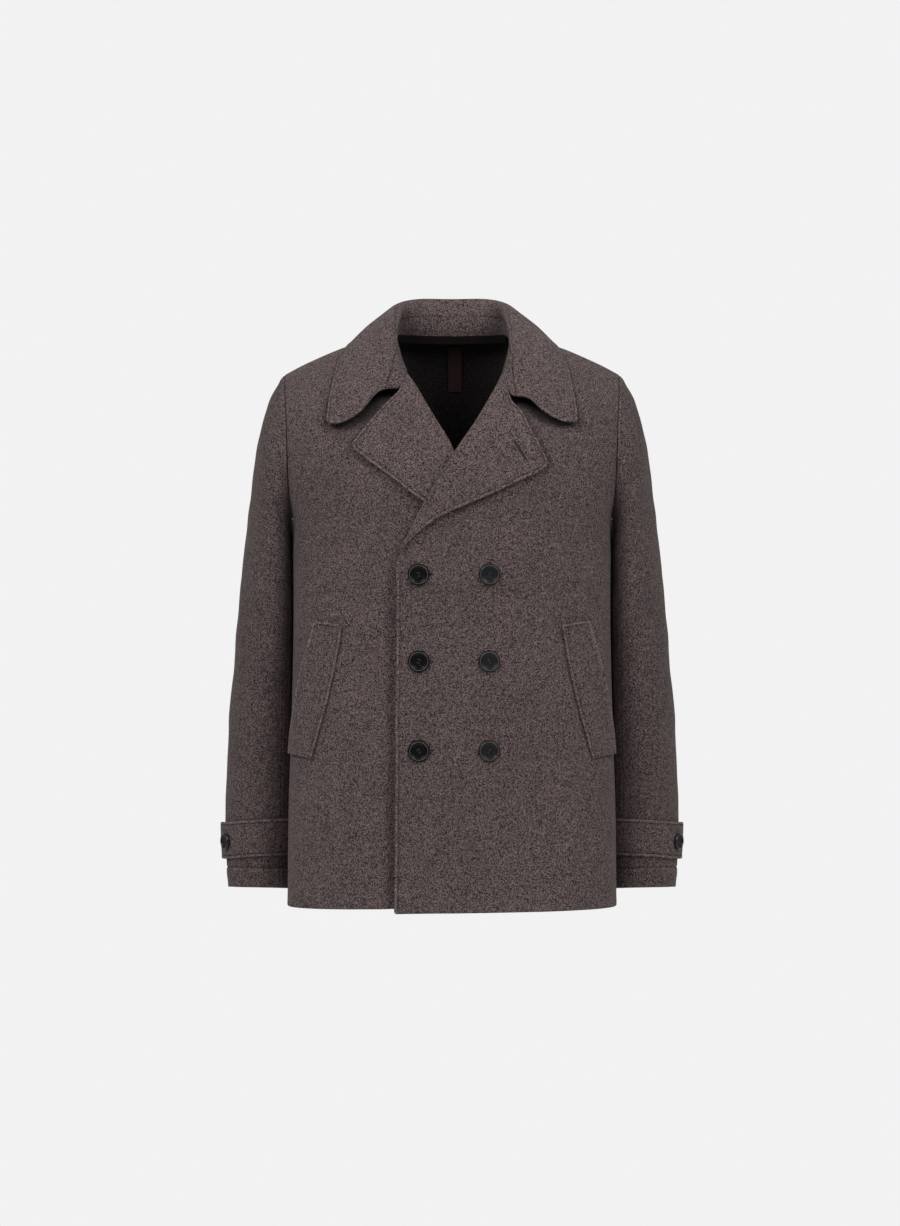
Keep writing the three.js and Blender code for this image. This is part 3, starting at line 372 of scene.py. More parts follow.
def fold_depth(folds, x, z, scale=1.0):
    depth = np.zeros(np.broadcast(x, z).shape)
    for x0, z0, x1, z1, width, height in folds:
        dx = (x1 - x0) * scale
        dz = z1 - z0
        along = ((x - x0) * scale * dx + (z - z0) * dz) / (dx * dx + dz * dz)
        t = np.clip(along, 0, 1)
        away = np.hypot((x - x0) * scale - dx * t, z - z0 - dz * t)
        depth += height * bell(away, width) * (0.35 + 0.65 * np.sin(np.pi * t))
    return depth


def beside_line(points, x, z):
    """Distance from a line of points, and the share along it of the nearest place."""
    best = np.full(np.broadcast(x, z).shape, np.inf)
    share = np.zeros_like(best)
    for k, ((x0, z0), (x1, z1)) in enumerate(zip(points, points[1:])):
        dx, dz = x1 - x0, z1 - z0
        t = np.clip(((x - x0) * dx + (z - z0) * dz) / (dx * dx + dz * dz), 0, 1)
        away = np.hypot(x - x0 - dx * t, z - z0 - dz * t)
        share = np.where(away < best, (k + t) / (len(points) - 1), share)
        best = np.minimum(best, away)
    return best, share


def unevenness(x, z, phase=0.0):
    total = np.zeros(np.broadcast(x, z).shape)
    for height, across, up, start in WAVES:
        total += height * np.sin(2 * np.pi * (across * x + up * z) + start + phase)
    return total


def unit(vectors):
    length = np.linalg.norm(vectors, axis=-1, keepdims=True)
    return vectors / np.maximum(length, 1e-9)


def stacked(x, y, z):
    return np.stack(np.broadcast_arrays(x, y, z), axis=-1).astype(float)


def body_surface(x, z, is_front):
    """The outer surface of the body, front or back, at places seen from the front."""
    x, z = np.broadcast_arrays(np.asarray(x, float), np.asarray(z, float))
    away = np.abs(x)
    roundness = ROUNDNESS[is_front]
    half = section(z, "half")
    side = section(z, "side")
    rim = (1 - np.minimum(away / half, 1) ** roundness) ** (1 / roundness)
    middle = section(z, "front" if is_front else "back")
    full = side + (middle - side) * rim
    neck = 0.0
    if not is_front:
        neck = NECK_BACK * np.sqrt(1 - np.minimum(away / NECK_HALF, 1) ** 2)
    reach_neck, reach_tip, power = DOME[is_front]
    span = np.clip((away - DOME_FROM_X) / (TIP_X - DOME_FROM_X), 0, 1)
    below = np.clip((shoulder(away, "z") - z) / mix(reach_neck, reach_tip, span), 0, 1)
    share = np.sin(np.pi / 2 * below) ** power
    folds = FRONT_FOLDS + FRONT_CREASES if is_front else BACK_FOLDS + BACK_CREASES
    fold = fold_depth(folds, x, z) + unevenness(x, z, 0 if is_front else 2.0)
    outward = -1 if is_front else 1
    return stacked(x, neck + (full - neck) * share + outward * fold * rim * share, z)


def surface_normal(x, z, is_front):
    step = 1.0
    across = body_surface(x + step, z, is_front) - body_surface(x - step, z, is_front)
    up = body_surface(x, z + step, is_front) - body_surface(x, z - step, is_front)
    normal = unit(np.cross(across, up))
    flip = normal[..., 1] * (-1 if is_front else 1) < 0
    return np.where(flip[..., None], -normal, normal)


def over_lift(x, z):
    """How far the top front lies outside the plain body surface."""
    near = 1 - ease(x, 75, 165)
    low = 1 - ease(z, -150, -70)
    over_lapel = ease(z, -350, -290)
    return near * low * (OVER_LIFT_FRONT + OVER_LIFT_LAPEL * over_lapel)


def over_front(side, x, z, lift):
    """Points over a front, moved out from it; the wearer's left front is the top one."""
    base = over_lift(x, z) if side > 0 else 0.0
    out = np.asarray(base + lift)[..., None]
    return body_surface(x, z, True) + surface_normal(x, z, True) * out


def before_front(side, x, z, lift):
    """Points that stand off a front as over_front's do, but keep their place seen from ahead."""
    base = over_lift(x, z) if side > 0 else 0.0
    point = body_surface(x, z, True)
    forward = np.minimum(surface_normal(x, z, True)[..., 1], -0.5)
    point[..., 1] += (base + lift) / forward
    return point


def grid_normals(surface, facing):
    along = np.gradient(surface, axis=0)
    across = np.gradient(surface, axis=1)
    normal = unit(np.cross(along, across))
    flip = (normal * facing).sum(axis=-1) < 0
    return np.where(flip[..., None], -normal, normal)


def edge_distances(surface):
    """Distances along the cloth from its first row, last row, first column and last column."""
    down = np.linalg.norm(np.diff(surface, axis=0), axis=2)
    over = np.linalg.norm(np.diff(surface, axis=1), axis=2)
    first_row = np.vstack([np.zeros((1, surface.shape[1])), np.cumsum(down, axis=0)])
    first_column = np.hstack([np.zeros((surface.shape[0], 1)), np.cumsum(over, axis=1)])
    return (
        first_row,
        first_row[-1] - first_row,
        first_column,
        first_column[:, -1:] - first_column,
    )


FINE_EDGE = (0.0, 0.3, 0.9, 1.8, 2.8, 3.6, 4.2, 4.7, 5.2, 5.7, 6.4, 7.6)
SEAM_EDGE = (0.0, 0.3, 0.9, 1.8, 3.0, 4.6)


def spread(length, cell, start=SEAM_EDGE, end=SEAM_EDGE):
    """Shares of a length, with fine cells at its two ends and even cells between them."""
    first = np.array(start) / length
    last = 1 - np.array(end)[::-1] / length
    count = max(int(round((last[0] - first[-1]) * length / cell)), 1)
    middle = np.linspace(first[-1], last[0], count + 1)
    return np.concatenate([first[:-1], middle, last[1:]])


def rounded_corner(surface, last_row, last_column, radius):
    """Rounds one corner of a grid of points; the corner is named by its row and column."""
    edges = edge_distances(surface)
    a = edges[1] if last_row else edges[0]
    b = edges[3] if last_column else edges[2]
    p = np.maximum(radius - a, 0)
    q = np.maximum(radius - b, 0)
    length = np.maximum(np.hypot(p, q), 1e-9)
    shrink = np.where((p > 0) & (q > 0), np.maximum(p, q) / length, 1)
    along = unit(np.gradient(surface, axis=0)) * (1 if last_row else -1)
    across = unit(np.gradient(surface, axis=1)) * (1 if last_column else -1)
    return (
        surface
        - along * (p * (1 - shrink))[..., None]
        - across * (q * (1 - shrink))[..., None]
    )


def stitched(distance, at=4.4, depth=0.95):
    """Relief beside a stitched edge: a groove along the stitches and a raised edge outside."""
    return -depth * bell(distance - at, 0.85) + 0.4 * bell(distance - at * 0.45, at * 0.4)


def rubbed_and_painted_edge_shading(distance, at=4.4):
    """Painted shading beside a stitched edge: a painted highlight on the raised edge and painted shade in
    the groove.
    """
    return bell(distance - at * 0.4, at * 0.36) - 0.9 * bell(distance - at, 0.8)


def seamed(distance, depth=0.8):
    """Relief beside a sewn seam, where the cloth turns in."""
    return -depth * bell(distance, 1.1) + 0.25 * bell(distance - 2.6, 1.2)


def cloth_wall(surface, normals, thickness, relief, centred=False, sewn=()):
    """Outer and inner grid of a cloth wall, with rounded edges where it isn't sewn on.

    The edges are numbered as edge_distances returns them.
    """
    nearest = np.full(surface.shape[:2], thickness)
    for number, distance in enumerate(edge_distances(surface)):
        if number not in sewn:
            nearest = np.minimum(nearest, distance)
    half = thickness / 2
    share = 1 - np.minimum(nearest / half, 1)
    thick = half * np.maximum(np.sqrt(1 - share**2), 0.18)
    middle = surface if centred else surface - normals * half
    outer = middle + normals * (thick + relief)[..., None]
    inner = middle - normals * (thick - 0.5 * np.maximum(-relief, -0.2) * 0.6)[..., None]
    return outer, inner


def wall_mesh(name, outer, inner):
    """Closed mesh in metres from an outer and an inner grid, with faces pointing out."""
    rows, columns = outer.shape[:2]
    points = np.concatenate([outer.reshape(-1, 3), inner.reshape(-1, 3)]) * MM
    number = np.arange(rows * columns).reshape(rows, columns)
    a, b = number[:-1, :-1], number[:-1, 1:]
    c, d = number[1:, 1:], number[1:, :-1]
    front = np.stack([a, b, c, d], axis=-1).reshape(-1, 4)
    back = np.stack([a, d, c, b], axis=-1).reshape(-1, 4) + rows * columns
    loop = np.concatenate([
        number[0, :-1], number[:-1, -1], number[-1, :0:-1], number[:0:-1, 0],
    ])
    following = np.roll(loop, -1)
    rim = np.stack([loop, loop + rows * columns, following + rows * columns, following], -1)
    faces = np.concatenate([front, back, rim])
    first, second, third, fourth = (points[faces[:, k]] for k in range(4))
    volume = (first * np.cross(second, third)).sum() + (first * np.cross(third, fourth)).sum()
    if volume < 0:
        faces = faces[:, ::-1]
    mesh = bpy.data.meshes.new(name)
    mesh.from_pydata(points.tolist(), [], faces.tolist())
    mesh.polygons.foreach_set("use_smooth", np.ones(len(faces), dtype=bool))
    mesh.update()
    return mesh, len(front)


# Surfaces of the pieces


def angle_of(x, half, roundness):
    """Angle round a section that belongs to a sideways place."""
    return np.sign(x) * np.arcsin(np.minimum(np.abs(x) / half, 1) ** (roundness / 2))


def sideways_of(angle, half, roundness):
    return np.sign(angle) * half * np.abs(np.sin(angle)) ** (2 / roundness)


def roll_edge(side, v):
    """Free edge and roll line of a front, as the eye sees it."""
    if side < 0:
        shift = UNDER_EDGE_SHIFT * ease(v, 0.74, 0.82) * (1 - ease(v, 0.88, 0.95))
    else:
        shift = -OVER_EDGE_SHIFT * ease(v, 0.62, 0.7) * (1 - ease(v, 0.94, 0.99))
    return side * (front_row(v, "xIn") - shift), front_row(v, "zIn")


def front_surface(side, v, u):
    z_in = front_row(v, "zIn")
    z_out = front_row(v, "zOut")
    edge_x, _ = roll_edge(side, v)
    turned = ease(v, BREAK_V - 0.03, BREAK_V + 0.03) * (1 - ease(v, 0.95, 1))
    x_in = side * edge_x + LAPEL_WRAP * turned
    x_out = np.where(z_out <= ARMHOLE_BOTTOM_Z, section(z_out, "half"), armhole(z_out, "x"))
    roundness = ROUNDNESS[True]
    half = mix(section(z_in, "half"), section(z_out, "half"), u)
    start = angle_of(x_in, section(z_in, "half"), roundness)
    end = angle_of(x_out, section(z_out, "half"), roundness)
    x = np.where(u == 0, x_in, sideways_of(mix(start, end, u), half, roundness))
    share = np.clip((x - x_in) / (x_out - x_in), 0, 1)
    bow = shoulder(np.maximum(x, NECK_HALF), "z") - mix(0, TIP_Z, share)
    rise = (UNDER_HEM_RISE if side < 0 else -OVER_HEM_DROP) * (1 - ease(v, 0, 0.2))
    z = mix(z_in, z_out, share) + bow * ease(z_in, -90, 0) + rise * (1 - share)
    return body_surface(side * x, z, True)


def back_surface(side, v, u):
    """A back half; the share u reaches the neck's end of the shoulder at BACK_NECK_U."""
    z_in = back_row(v, "zIn")
    z_out = back_row(v, "zOut")
    x_out = np.where(z_out <= ARMHOLE_BOTTOM_Z, section(z_out, "half"), armhole(z_out, "x"))
    roundness = ROUNDNESS[False]
    end = angle_of(x_out, section(z_out, "half"), roundness)
    half = mix(section(z_in, "half"), section(z_out, "half"), u)
    level = sideways_of(end * u, half, roundness)
    in_neck = NECK_HALF * np.sin(np.pi / 2 * np.minimum(u / BACK_NECK_U, 1))
    on_shoulder = mix(NECK_HALF, x_out, (u - BACK_NECK_U) / (1 - BACK_NECK_U))
    top = np.where(u <= BACK_NECK_U, in_neck, on_shoulder)
    x = mix(level, top, ease(z_in, -200, -20))
    share = np.clip(x / x_out, 0, 1)
    bow = shoulder(x, "z") - mix(2, TIP_Z, share)
    z = mix(z_in, z_out, share) + bow * ease(z_in, -90, 0)
    return body_surface(side * x, z, False)


BACK_NECK_U = 1 / 3


def clamp_to_seams(points, is_front):
    """Keeps a front before the side and shoulder seam, and a back behind it."""
    seam = section(points[..., 2], "side")
    line = np.where(points[..., 2] > TIP_Z - 12, np.maximum(seam, 0), seam)
    if is_front:
        points[..., 1] = np.minimum(points[..., 1], line - SEAM_GAP / 2)
    else:
        points[..., 1] = np.maximum(points[..., 1], line + SEAM_GAP / 2)


# Share of a lapel's width, distance past the front's edge, and height over the front
LAPEL_ACROSS = {
    "k": (0, 1, 2, 3, 4, 5, 6, 7),
    "width": (0, 0, 0, 0.1, 0.28, 0.5, 0.75, 1),
    "past": (3.9, 3.4, 0.6, 0, 0, 0, 0, 0),
    "lift": (-0.6, 2.6, 4.1, 4.3, 4.6, 4.6, 4.5, 4.3),
}
# How far a lapel's outer edge and its top edge stand off the front
LAPEL_EDGE_LIFT, LAPEL_TOP_LIFT = 4.2, 3.5
lapel_across = reader(LAPEL_ACROSS, "k")


def lapel_surface(side, t, k):
    lower = outline_reader(LAPELS[side]["lower"])
    upper = outline_reader(LAPELS[side]["upper"])
    width = np.clip(lapel_across(k, "width"), 0, 1)
    past = np.maximum(lapel_across(k, "past"), 0)
    lift = lapel_across(k, "lift") + LAPEL_EDGE_LIFT * ease(width, 0.3, 1) * ease(t, 0.03, 0.3)
    lift += LAPEL_TOP_LIFT * ease(t, 0.72, 1) * ease(width, 0.08, 0.4) * (1 - 0.6 * ease(width, 0.6, 1))
    roll_x, roll_z = roll_edge(side, mix(BREAK_V + 0.008, GORGE_V, t))
    start_x = roll_x + side * LAPEL_WRAP
    pull = ease(t, 0.6, 1)
    bend_x = upper(width, "x") - mix(upper(0, "x"), upper(1, "x"), width)
    bend_z = upper(width, "z") - mix(upper(0, "z"), upper(1, "z"), width)
    x = mix(start_x, lower(t, "x"), width) + bend_x * pull - side * past * LAPEL_TURN[0]
    z = mix(roll_z, lower(t, "z"), width) + bend_z * pull + past * LAPEL_TURN[1]
    return before_front(side, x, z, lift)


def catmull_rom(points, w):
    """A centripetal curve through the points on the last-but-one axis, at shares w."""
    count = points.shape[-2]
    place = (count - 1) * w
    i = np.clip(np.floor(place).astype(int), 0, count - 2)
    t = (place - i)[..., None]
    before = 2 * points[..., :1, :] - points[..., 1:2, :]
    after = 2 * points[..., -1:, :] - points[..., -2:-1, :]
    line = np.concatenate([before, points, after], axis=-2)

    def pick(offset):
        return np.take_along_axis(line, (i + offset)[..., None, None], axis=-2)[..., 0, :]

    p0, p1, p2, p3 = pick(0), pick(1), pick(2), pick(3)
    d0, d1, d2 = (
        np.sqrt(np.maximum(np.linalg.norm(b - a, axis=-1, keepdims=True), 1e-6))
        for a, b in ((p0, p1), (p1, p2), (p2, p3))
    )
    t1 = ((p1 - p0) / d0 - (p2 - p0) / (d0 + d1) + (p2 - p1) / d1) * d1
    t2 = ((p2 - p1) / d1 - (p3 - p1) / (d1 + d2) + (p3 - p2) / d2) * d1
    c2 = -3 * p1 + 3 * p2 - 2 * t1 - t2
    c3 = 2 * p1 - 2 * p2 + t1 + t2
    return p1 + t1 * t + c2 * t**2 + c3 * t**3


# Where a collar's front end starts across it
COLLAR_END_ACROSS = 0.42


def collar_surface(signed, w):
    """The middle of the collar's cloth; signed runs from -1 to 1 along it, w from neck to edge."""
    side = np.where(signed < 0, -1, 1)
    u = np.abs(signed)
    row = np.minimum(u, COLLAR_END_FROM)
    shift = NECK_EDGE_SHIFT * ease(row, 0.45, 0.85) * (side > 0)
    neck = stacked(side * collar_row(row, "nx") + shift, collar_row(row, "ny"),
                   collar_row(row, "nz"))
    roll = stacked(side * collar_row(row, "rx") + shift / 2, collar_row(row, "ry"),
                   collar_row(row, "rz"))
    edge = stacked(side * collar_row(row, "ox"), collar_row(row, "oy"), collar_row(row, "oz"))
    stand = roll - neck
    fall = edge - roll
    out = unit(edge * (1, 1, 0))
    hollow = out * (STAND_BULGE * (1 - ease(u, 0.2, 0.42)))[..., None]
    overhang = out * (FOLD_BULGE * bell(u - 0.52, 0.2))[..., None]
    up = np.array((0, 0, 1.0))
    points = np.stack([
        neck,
        neck + stand * 0.5 - hollow,
        neck + stand * 0.88 - overhang,
        roll + out * 2.5,
        roll + fall * 0.12 + out * 4 + up * 3,
        roll + fall * 0.5 + out * 5 + up * 4,
        edge,
    ], axis=-2)
    point = catmull_rom(points, w)
    free = np.clip((w - COLLAR_END_ACROSS) / (1 - COLLAR_END_ACROSS), 0, 1)
    height = end_height(free, "up")
    last = np.zeros_like(point)
    for one_side in (1, -1):
        end = outline_reader(COLLAR_ENDS[one_side])
        placed = before_front(one_side, end(free, "x"), end(free, "z"), height)
        last = np.where((side == one_side)[..., None], placed, last)
    inside = neck + (last - neck) * np.clip(w / COLLAR_END_ACROSS, 0, 1)[..., None]
    target = np.where((w < COLLAR_END_ACROSS)[..., None], inside, last)
    return point + (target - point) * ease(u, COLLAR_END_FROM, 1)[..., None]


def collar_seam(u):
    """Share across the collar at which the stand is sewn to the fall."""
    return stand_seam(u, "w")


COLLAR_SEAM_HALF = 0.0006


def even_line(points):
    """Shares along a line of points, so that it can be read at an even pace."""
    steps = np.linalg.norm(np.diff(points, axis=0), axis=1)
    return np.concatenate([[0], np.cumsum(steps)]) / steps.sum()


def armhole_line(is_front):
    k = np.arange(161)
    z = mix(TIP_Z, ARMHOLE_BOTTOM_Z, (1 - np.cos(np.pi * k / 160)) / 2)
    line = body_surface(armhole(z, "x"), z, is_front)
    share = even_line(line)

    def read(where):
        return np.stack([np.interp(where, share, line[:, axis]) for axis in range(3)], axis=-1)

    return read


armhole_lines = {True: armhole_line(True), False: armhole_line(False)}


def body_half_width(y, z):
    side = section(z, "side")
    is_front = y < side
    depth = np.where(is_front, section(z, "front"), section(z, "back")) - side
    roundness = np.where(is_front, ROUNDNESS[True], ROUNDNESS[False])
    share = np.minimum(np.abs((y - side) / depth), 1)
    return section(z, "half") * (1 - share**roundness) ** (1 / roundness)


def ring_point(angle, length):
    turn = np.radians(angle)
    lean = (1 + np.cos(turn)) / 2
    return stacked(
        mix(ring(length, "xi"), ring(length, "xo"), lean),
        ring(length, "y") + ring(length, "depth") * np.sin(turn),
        mix(ring(length, "zi"), ring(length, "zo"), lean),
    )


def sleeve_surface(turned, length):
    """Outer surface of the wearer's left sleeve, round it by angle and along it."""
    turned, length = np.broadcast_arrays(np.asarray(turned, float), np.asarray(length, float))
    angle = np.where(turned > 180, turned - 360, turned)
    turn = np.radians(angle)
    where = np.minimum(np.abs(angle) / 180, 1)
    seam = np.where((angle < 0)[..., None], armhole_lines[True](where), armhole_lines[False](where))
    seam = seam + np.array((ARMHOLE_GAP, 0, 0))
    fit = (seam - ring_point(angle, np.zeros_like(length)))
    point = ring_point(angle, length) + fit * (1 - ease(length, 0, SLEEVE_FIT_END))[..., None]
    folds = SLEEVE_FOLDS + SLEEVE_CREASES
    fold = sum(fold_depth(folds, turned + k, length, SLEEVE_DEGREE) for k in (-360, 0, 360))
    slow = unevenness(70 * np.sin(turn), length * 690 + 40 * np.cos(turn), 4.0)
    fold = fold * (1 - SMOOTH_OUTSIDE * bell(angle, 40)) + slow * ease(length, 0, 0.1)
    point[..., 0] += fold * np.cos(turn)
    point[..., 1] += fold * np.sin(turn)
    point[..., 2] += CUFF_RISE * np.maximum(-np.sin(turn), 0) * ease(length, 0.85, 1)
    around = np.where(turned < 0, turned + 360, turned)
    tucked = ease(length, 0.08, 0.2) * (1 - ease(length, 0.75, 1))
    point[..., 0] -= SLEEVE_TUCK * bell(around - TUCK_ANGLE, TUCK_WIDTH) * tucked
    near = (point[..., 2] < ARMHOLE_BOTTOM_Z + 20) & (length > 0)
    clear = body_half_width(point[..., 1], point[..., 2])
    clear += SLEEVE_CLEARANCE * np.minimum(length / 0.08, 1)
    point[..., 0] = np.where(near, np.maximum(point[..., 0], clear), point[..., 0])
    return point


def sleeve_normal(angle, length, at_armhole=None):
    turn_step, step = 3.0, 0.008
    ahead = np.minimum(length + step, 1)
    behind = np.maximum(length - step, 0)
    around = sleeve_surface(angle + turn_step, length) - sleeve_surface(angle - turn_step, length)
    along = sleeve_surface(angle, ahead) - sleeve_surface(angle, behind)
    normal = unit(np.cross(along, around))
    if at_armhole is not None:
        turn = np.radians(angle)
        plain = stacked(np.zeros_like(turn), np.sin(turn), np.cos(turn))
        normal = np.where(at_armhole[..., None], plain, normal)
    return normal


def length_at_height(angle, z):
    """Share of the sleeve's length at which its surface reaches a height."""
    low = np.full(np.broadcast(angle, z).shape, 0.3)
    high = np.ones_like(low)
    for _ in range(26):
        half = (low + high) / 2
        above = sleeve_surface(angle, half)[..., 2] > z
        low = np.where(above, half, low)
        high = np.where(above, high, half)
    return (low + high) / 2


def on_sleeve(side, angle, z, lift):
    length = length_at_height(angle, z)
    point = sleeve_surface(angle, length) + sleeve_normal(angle, length) * lift
    return point * (side, 1, 1)


# Materials


def new_material(name):
    material = bpy.data.materials.new(name)
    material.use_nodes = True
    tree = material.node_tree
    tree.nodes.clear()
    shader = tree.nodes.new("ShaderNodeBsdfPrincipled")
    output = tree.nodes.new("ShaderNodeOutputMaterial")
    tree.links.new(shader.outputs["BSDF"], output.inputs["Surface"])
    return material, tree, shader


def add_node(tree, kind, inputs=None, **settings):
    made = tree.nodes.new(kind)
    for name, value in settings.items():
        setattr(made, name, value)
    for name, value in (inputs or {}).items():
        if hasattr(value, "is_output"):
            tree.links.new(value, made.inputs[name])
        else:
            made.inputs[name].default_value = value
    return made


def blended(tree, factor, first, second, kind="MIX"):
    """A colour mixed from two, by a number."""
    made = add_node(tree, "ShaderNodeMix", data_type="RGBA", blend_type=kind)
    for socket, value in ((made.inputs[0], factor), (made.inputs[6], first),
                          (made.inputs[7], second)):
        if hasattr(value, "is_output"):
            tree.links.new(value, socket)
        else:
            socket.default_value = value
    return made.outputs[2]


def ranged(tree, value, low, high, to_low=0.0, to_high=1.0):
    made = add_node(tree, "ShaderNodeMapRange", {
        "Value": value, "From Min": low, "From Max": high, "To Min": to_low, "To Max": to_high,
    })
    return made.outputs["Result"]


def noise(tree, vector, scale, detail=2.0, roughness=0.5, distortion=0.0):
    made = add_node(tree, "ShaderNodeTexNoise", {
        "Vector": vector, "Scale": scale, "Detail": detail, "Roughness": roughness,
        "Distortion": distortion,
    })
    return made


def colour(rgb):
    return (rgb[0], rgb[1], rgb[2], 1.0)


def scaled(rgb, factor):
    return (rgb[0] * factor, rgb[1] * factor, rgb[2] * factor, 1.0)


# How much the painted shading changes the wool: painted highlights on raised edges, painted shade in the
# grooves beside them and in seams, hollows and folds
PAINTED_SHADING_SHARE = 0.45
# Painted shade of seam lines, and of the collar's deep folds beside the neck
SEAM_SHADE, FOLD_SHADE = -0.8, -0.8


def melton(name, dark, light, bump=0.55):
    """Felted wool mixture: short curled fibres of lighter and darker wool, with a dull nap."""
    material, tree, shader = new_material(name)
    place = add_node(tree, "ShaderNodeTexCoord").outputs["Object"]
    curl = noise(tree, place, 300, 1.0)
    bend = add_node(tree, "ShaderNodeVectorMath", {0: curl.outputs["Color"], 1: (0.5, 0.5, 0.5)},
                    operation="SUBTRACT")
    shift = add_node(tree, "ShaderNodeVectorMath", {0: bend.outputs[0], "Scale": 0.0042},
                     operation="SCALE")
    curled = add_node(tree, "ShaderNodeVectorMath", {0: place, 1: shift.outputs[0]},
                      operation="ADD").outputs[0]
    fibre = noise(tree, curled, 560, 2.0, 0.6).outputs["Fac"]
    fleck = noise(tree, curled, 1100, 1.0, 0.5).outputs["Fac"]
    strand = noise(tree, place, 410, 1.0, 0.5, 3.2).outputs["Fac"]
    first = add_node(tree, "ShaderNodeMath", {0: fibre, 1: strand}, operation="ADD").outputs[0]
    both = add_node(tree, "ShaderNodeMath", {0: first, 1: fleck}, operation="ADD").outputs[0]
    mixture = ranged(tree, both, 1.46, 1.60)
    base = blended(tree, mixture, dark, light)
    slow = ranged(tree, noise(tree, place, 11, 2.0).outputs["Fac"], 0.3, 0.7, 0.93, 1.06)
    brown = ranged(tree, noise(tree, place, 150, 1.0).outputs["Fac"], 0.35, 0.65)
    toned = blended(tree, brown, (1.0, 0.985, 0.99, 1), (1.03, 0.97, 0.94, 1))
    warm = blended(tree, 1.0, base, toned, "MULTIPLY")
    # Painted shading, per point: above zero a painted highlight, below zero painted shade; it scales the
    # colour
    painted_shading = add_node(tree, "ShaderNodeAttribute", attribute_name="painted_shading").outputs["Fac"]
    edges = add_node(tree, "ShaderNodeMath", {0: painted_shading, 1: PAINTED_SHADING_SHARE, 2: 1.0},
                     operation="MULTIPLY_ADD").outputs[0]
    slow_tone_and_painted_shade = add_node(tree, "ShaderNodeMath", {0: slow, 1: edges}, operation="MULTIPLY")
    scale = add_node(tree, "ShaderNodeVectorMath", {0: warm, "Scale": slow_tone_and_painted_shade.outputs[0]},
                     operation="SCALE")
    tree.links.new(scale.outputs[0], shader.inputs["Base Color"])
    nap = noise(tree, curled, 1500, 2.0, 0.6).outputs["Fac"]
    height = add_node(tree, "ShaderNodeMath", {0: both, 1: nap}, operation="ADD").outputs[0]
    raised = add_node(tree, "ShaderNodeBump", {
        "Height": height, "Strength": bump, "Distance": 0.0006,
    })
    tree.links.new(raised.outputs["Normal"], shader.inputs["Normal"])
    shader.inputs["Roughness"].default_value = 0.95
    shader.inputs["Specular IOR Level"].default_value = 0.15
    shader.inputs["Sheen Weight"].default_value = 0.12
    shader.inputs["Sheen Roughness"].default_value = 0.6
    shader.inputs["Sheen Tint"].default_value = (0.8, 0.74, 0.72, 1)
    return material


def twill_tape(name, tint):
    """Narrow woven tape with a fine diagonal rib."""
    material, tree, shader = new_material(name)
    place = add_node(tree, "ShaderNodeTexCoord").outputs["Object"]
    rib = add_node(tree, "ShaderNodeTexWave", {
        "Vector": place, "Scale": 320.0, "Distortion": 0.6, "Detail": 1.0,
    }, bands_direction="DIAGONAL")
    slub = noise(tree, place, 900, 2.0)
    shade = blended(tree, rib.outputs["Fac"], scaled(tint, 0.75), scaled(tint, 1.3))
    mottled = ranged(tree, slub.outputs["Fac"], 0.3, 0.7, 0.8, 1.2)
    scale = add_node(tree, "ShaderNodeVectorMath", {0: shade, "Scale": mottled},
                     operation="SCALE")
    tree.links.new(scale.outputs[0], shader.inputs["Base Color"])
    raised = add_node(tree, "ShaderNodeBump", {
        "Height": rib.outputs["Fac"], "Strength": 0.4, "Distance": 0.0003,
    })
    tree.links.new(raised.outputs["Normal"], shader.inputs["Normal"])
    shader.inputs["Roughness"].default_value = 0.9
    shader.inputs["Specular IOR Level"].default_value = 0.08
    return material


def polished(name, tint, roughness, gloss):
    """Moulded button stuff, polished, with faint clouding and hair scratches."""
    material, tree, shader = new_material(name)
    place = add_node(tree, "ShaderNodeTexCoord").outputs["Object"]
    cloud = noise(tree, place, 130, 3.0)
    shade = blended(tree, cloud.outputs["Fac"], scaled(tint, 0.7), scaled(tint, 1.4))
    tree.links.new(shade, shader.inputs["Base Color"])
    rubbed_and_painted_edge_shading = ranged(tree, noise(tree, place, 700, 2.0).outputs["Fac"], 0.3, 0.7,
                  roughness * 0.8, roughness * 1.25)
    tree.links.new(rubbed_and_painted_edge_shading, shader.inputs["Roughness"])
    scratch = noise(tree, place, 2200, 1.0)
    raised = add_node(tree, "ShaderNodeBump", {
        "Height": scratch.outputs["Fac"], "Strength": 0.05, "Distance": 0.0001,
    })
    tree.links.new(raised.outputs["Normal"], shader.inputs["Normal"])
    shader.inputs["Specular IOR Level"].default_value = gloss
    return material


def spun(name, tint):
    """Twisted sewing thread."""
    material, tree, shader = new_material(name)
    place = add_node(tree, "ShaderNodeTexCoord").outputs["Object"]
    twist = noise(tree, place, 1600, 1.0)
    shade = blended(tree, twist.outputs["Fac"], scaled(tint, 0.7), scaled(tint, 1.35))
    tree.links.new(shade, shader.inputs["Base Color"])
    raised = add_node(tree, "ShaderNodeBump", {
        "Height": twist.outputs["Fac"], "Strength": 0.3, "Distance": 0.0002,
    })
    tree.links.new(raised.outputs["Normal"], shader.inputs["Normal"])
    shader.inputs["Roughness"].default_value = 0.7
    return material


def paper(name, tint):
    """Plain seamless paper with a barely visible tooth."""
    material, tree, shader = new_material(name)
    place = add_node(tree, "ShaderNodeTexCoord").outputs["Object"]
    tooth = noise(tree, place, 40, 2.0)
    shade = blended(tree, tooth.outputs["Fac"], scaled(tint, 0.985), scaled(tint, 1.0))
    tree.links.new(shade, shader.inputs["Base Color"])
    shader.inputs["Roughness"].default_value = 0.9
    return material


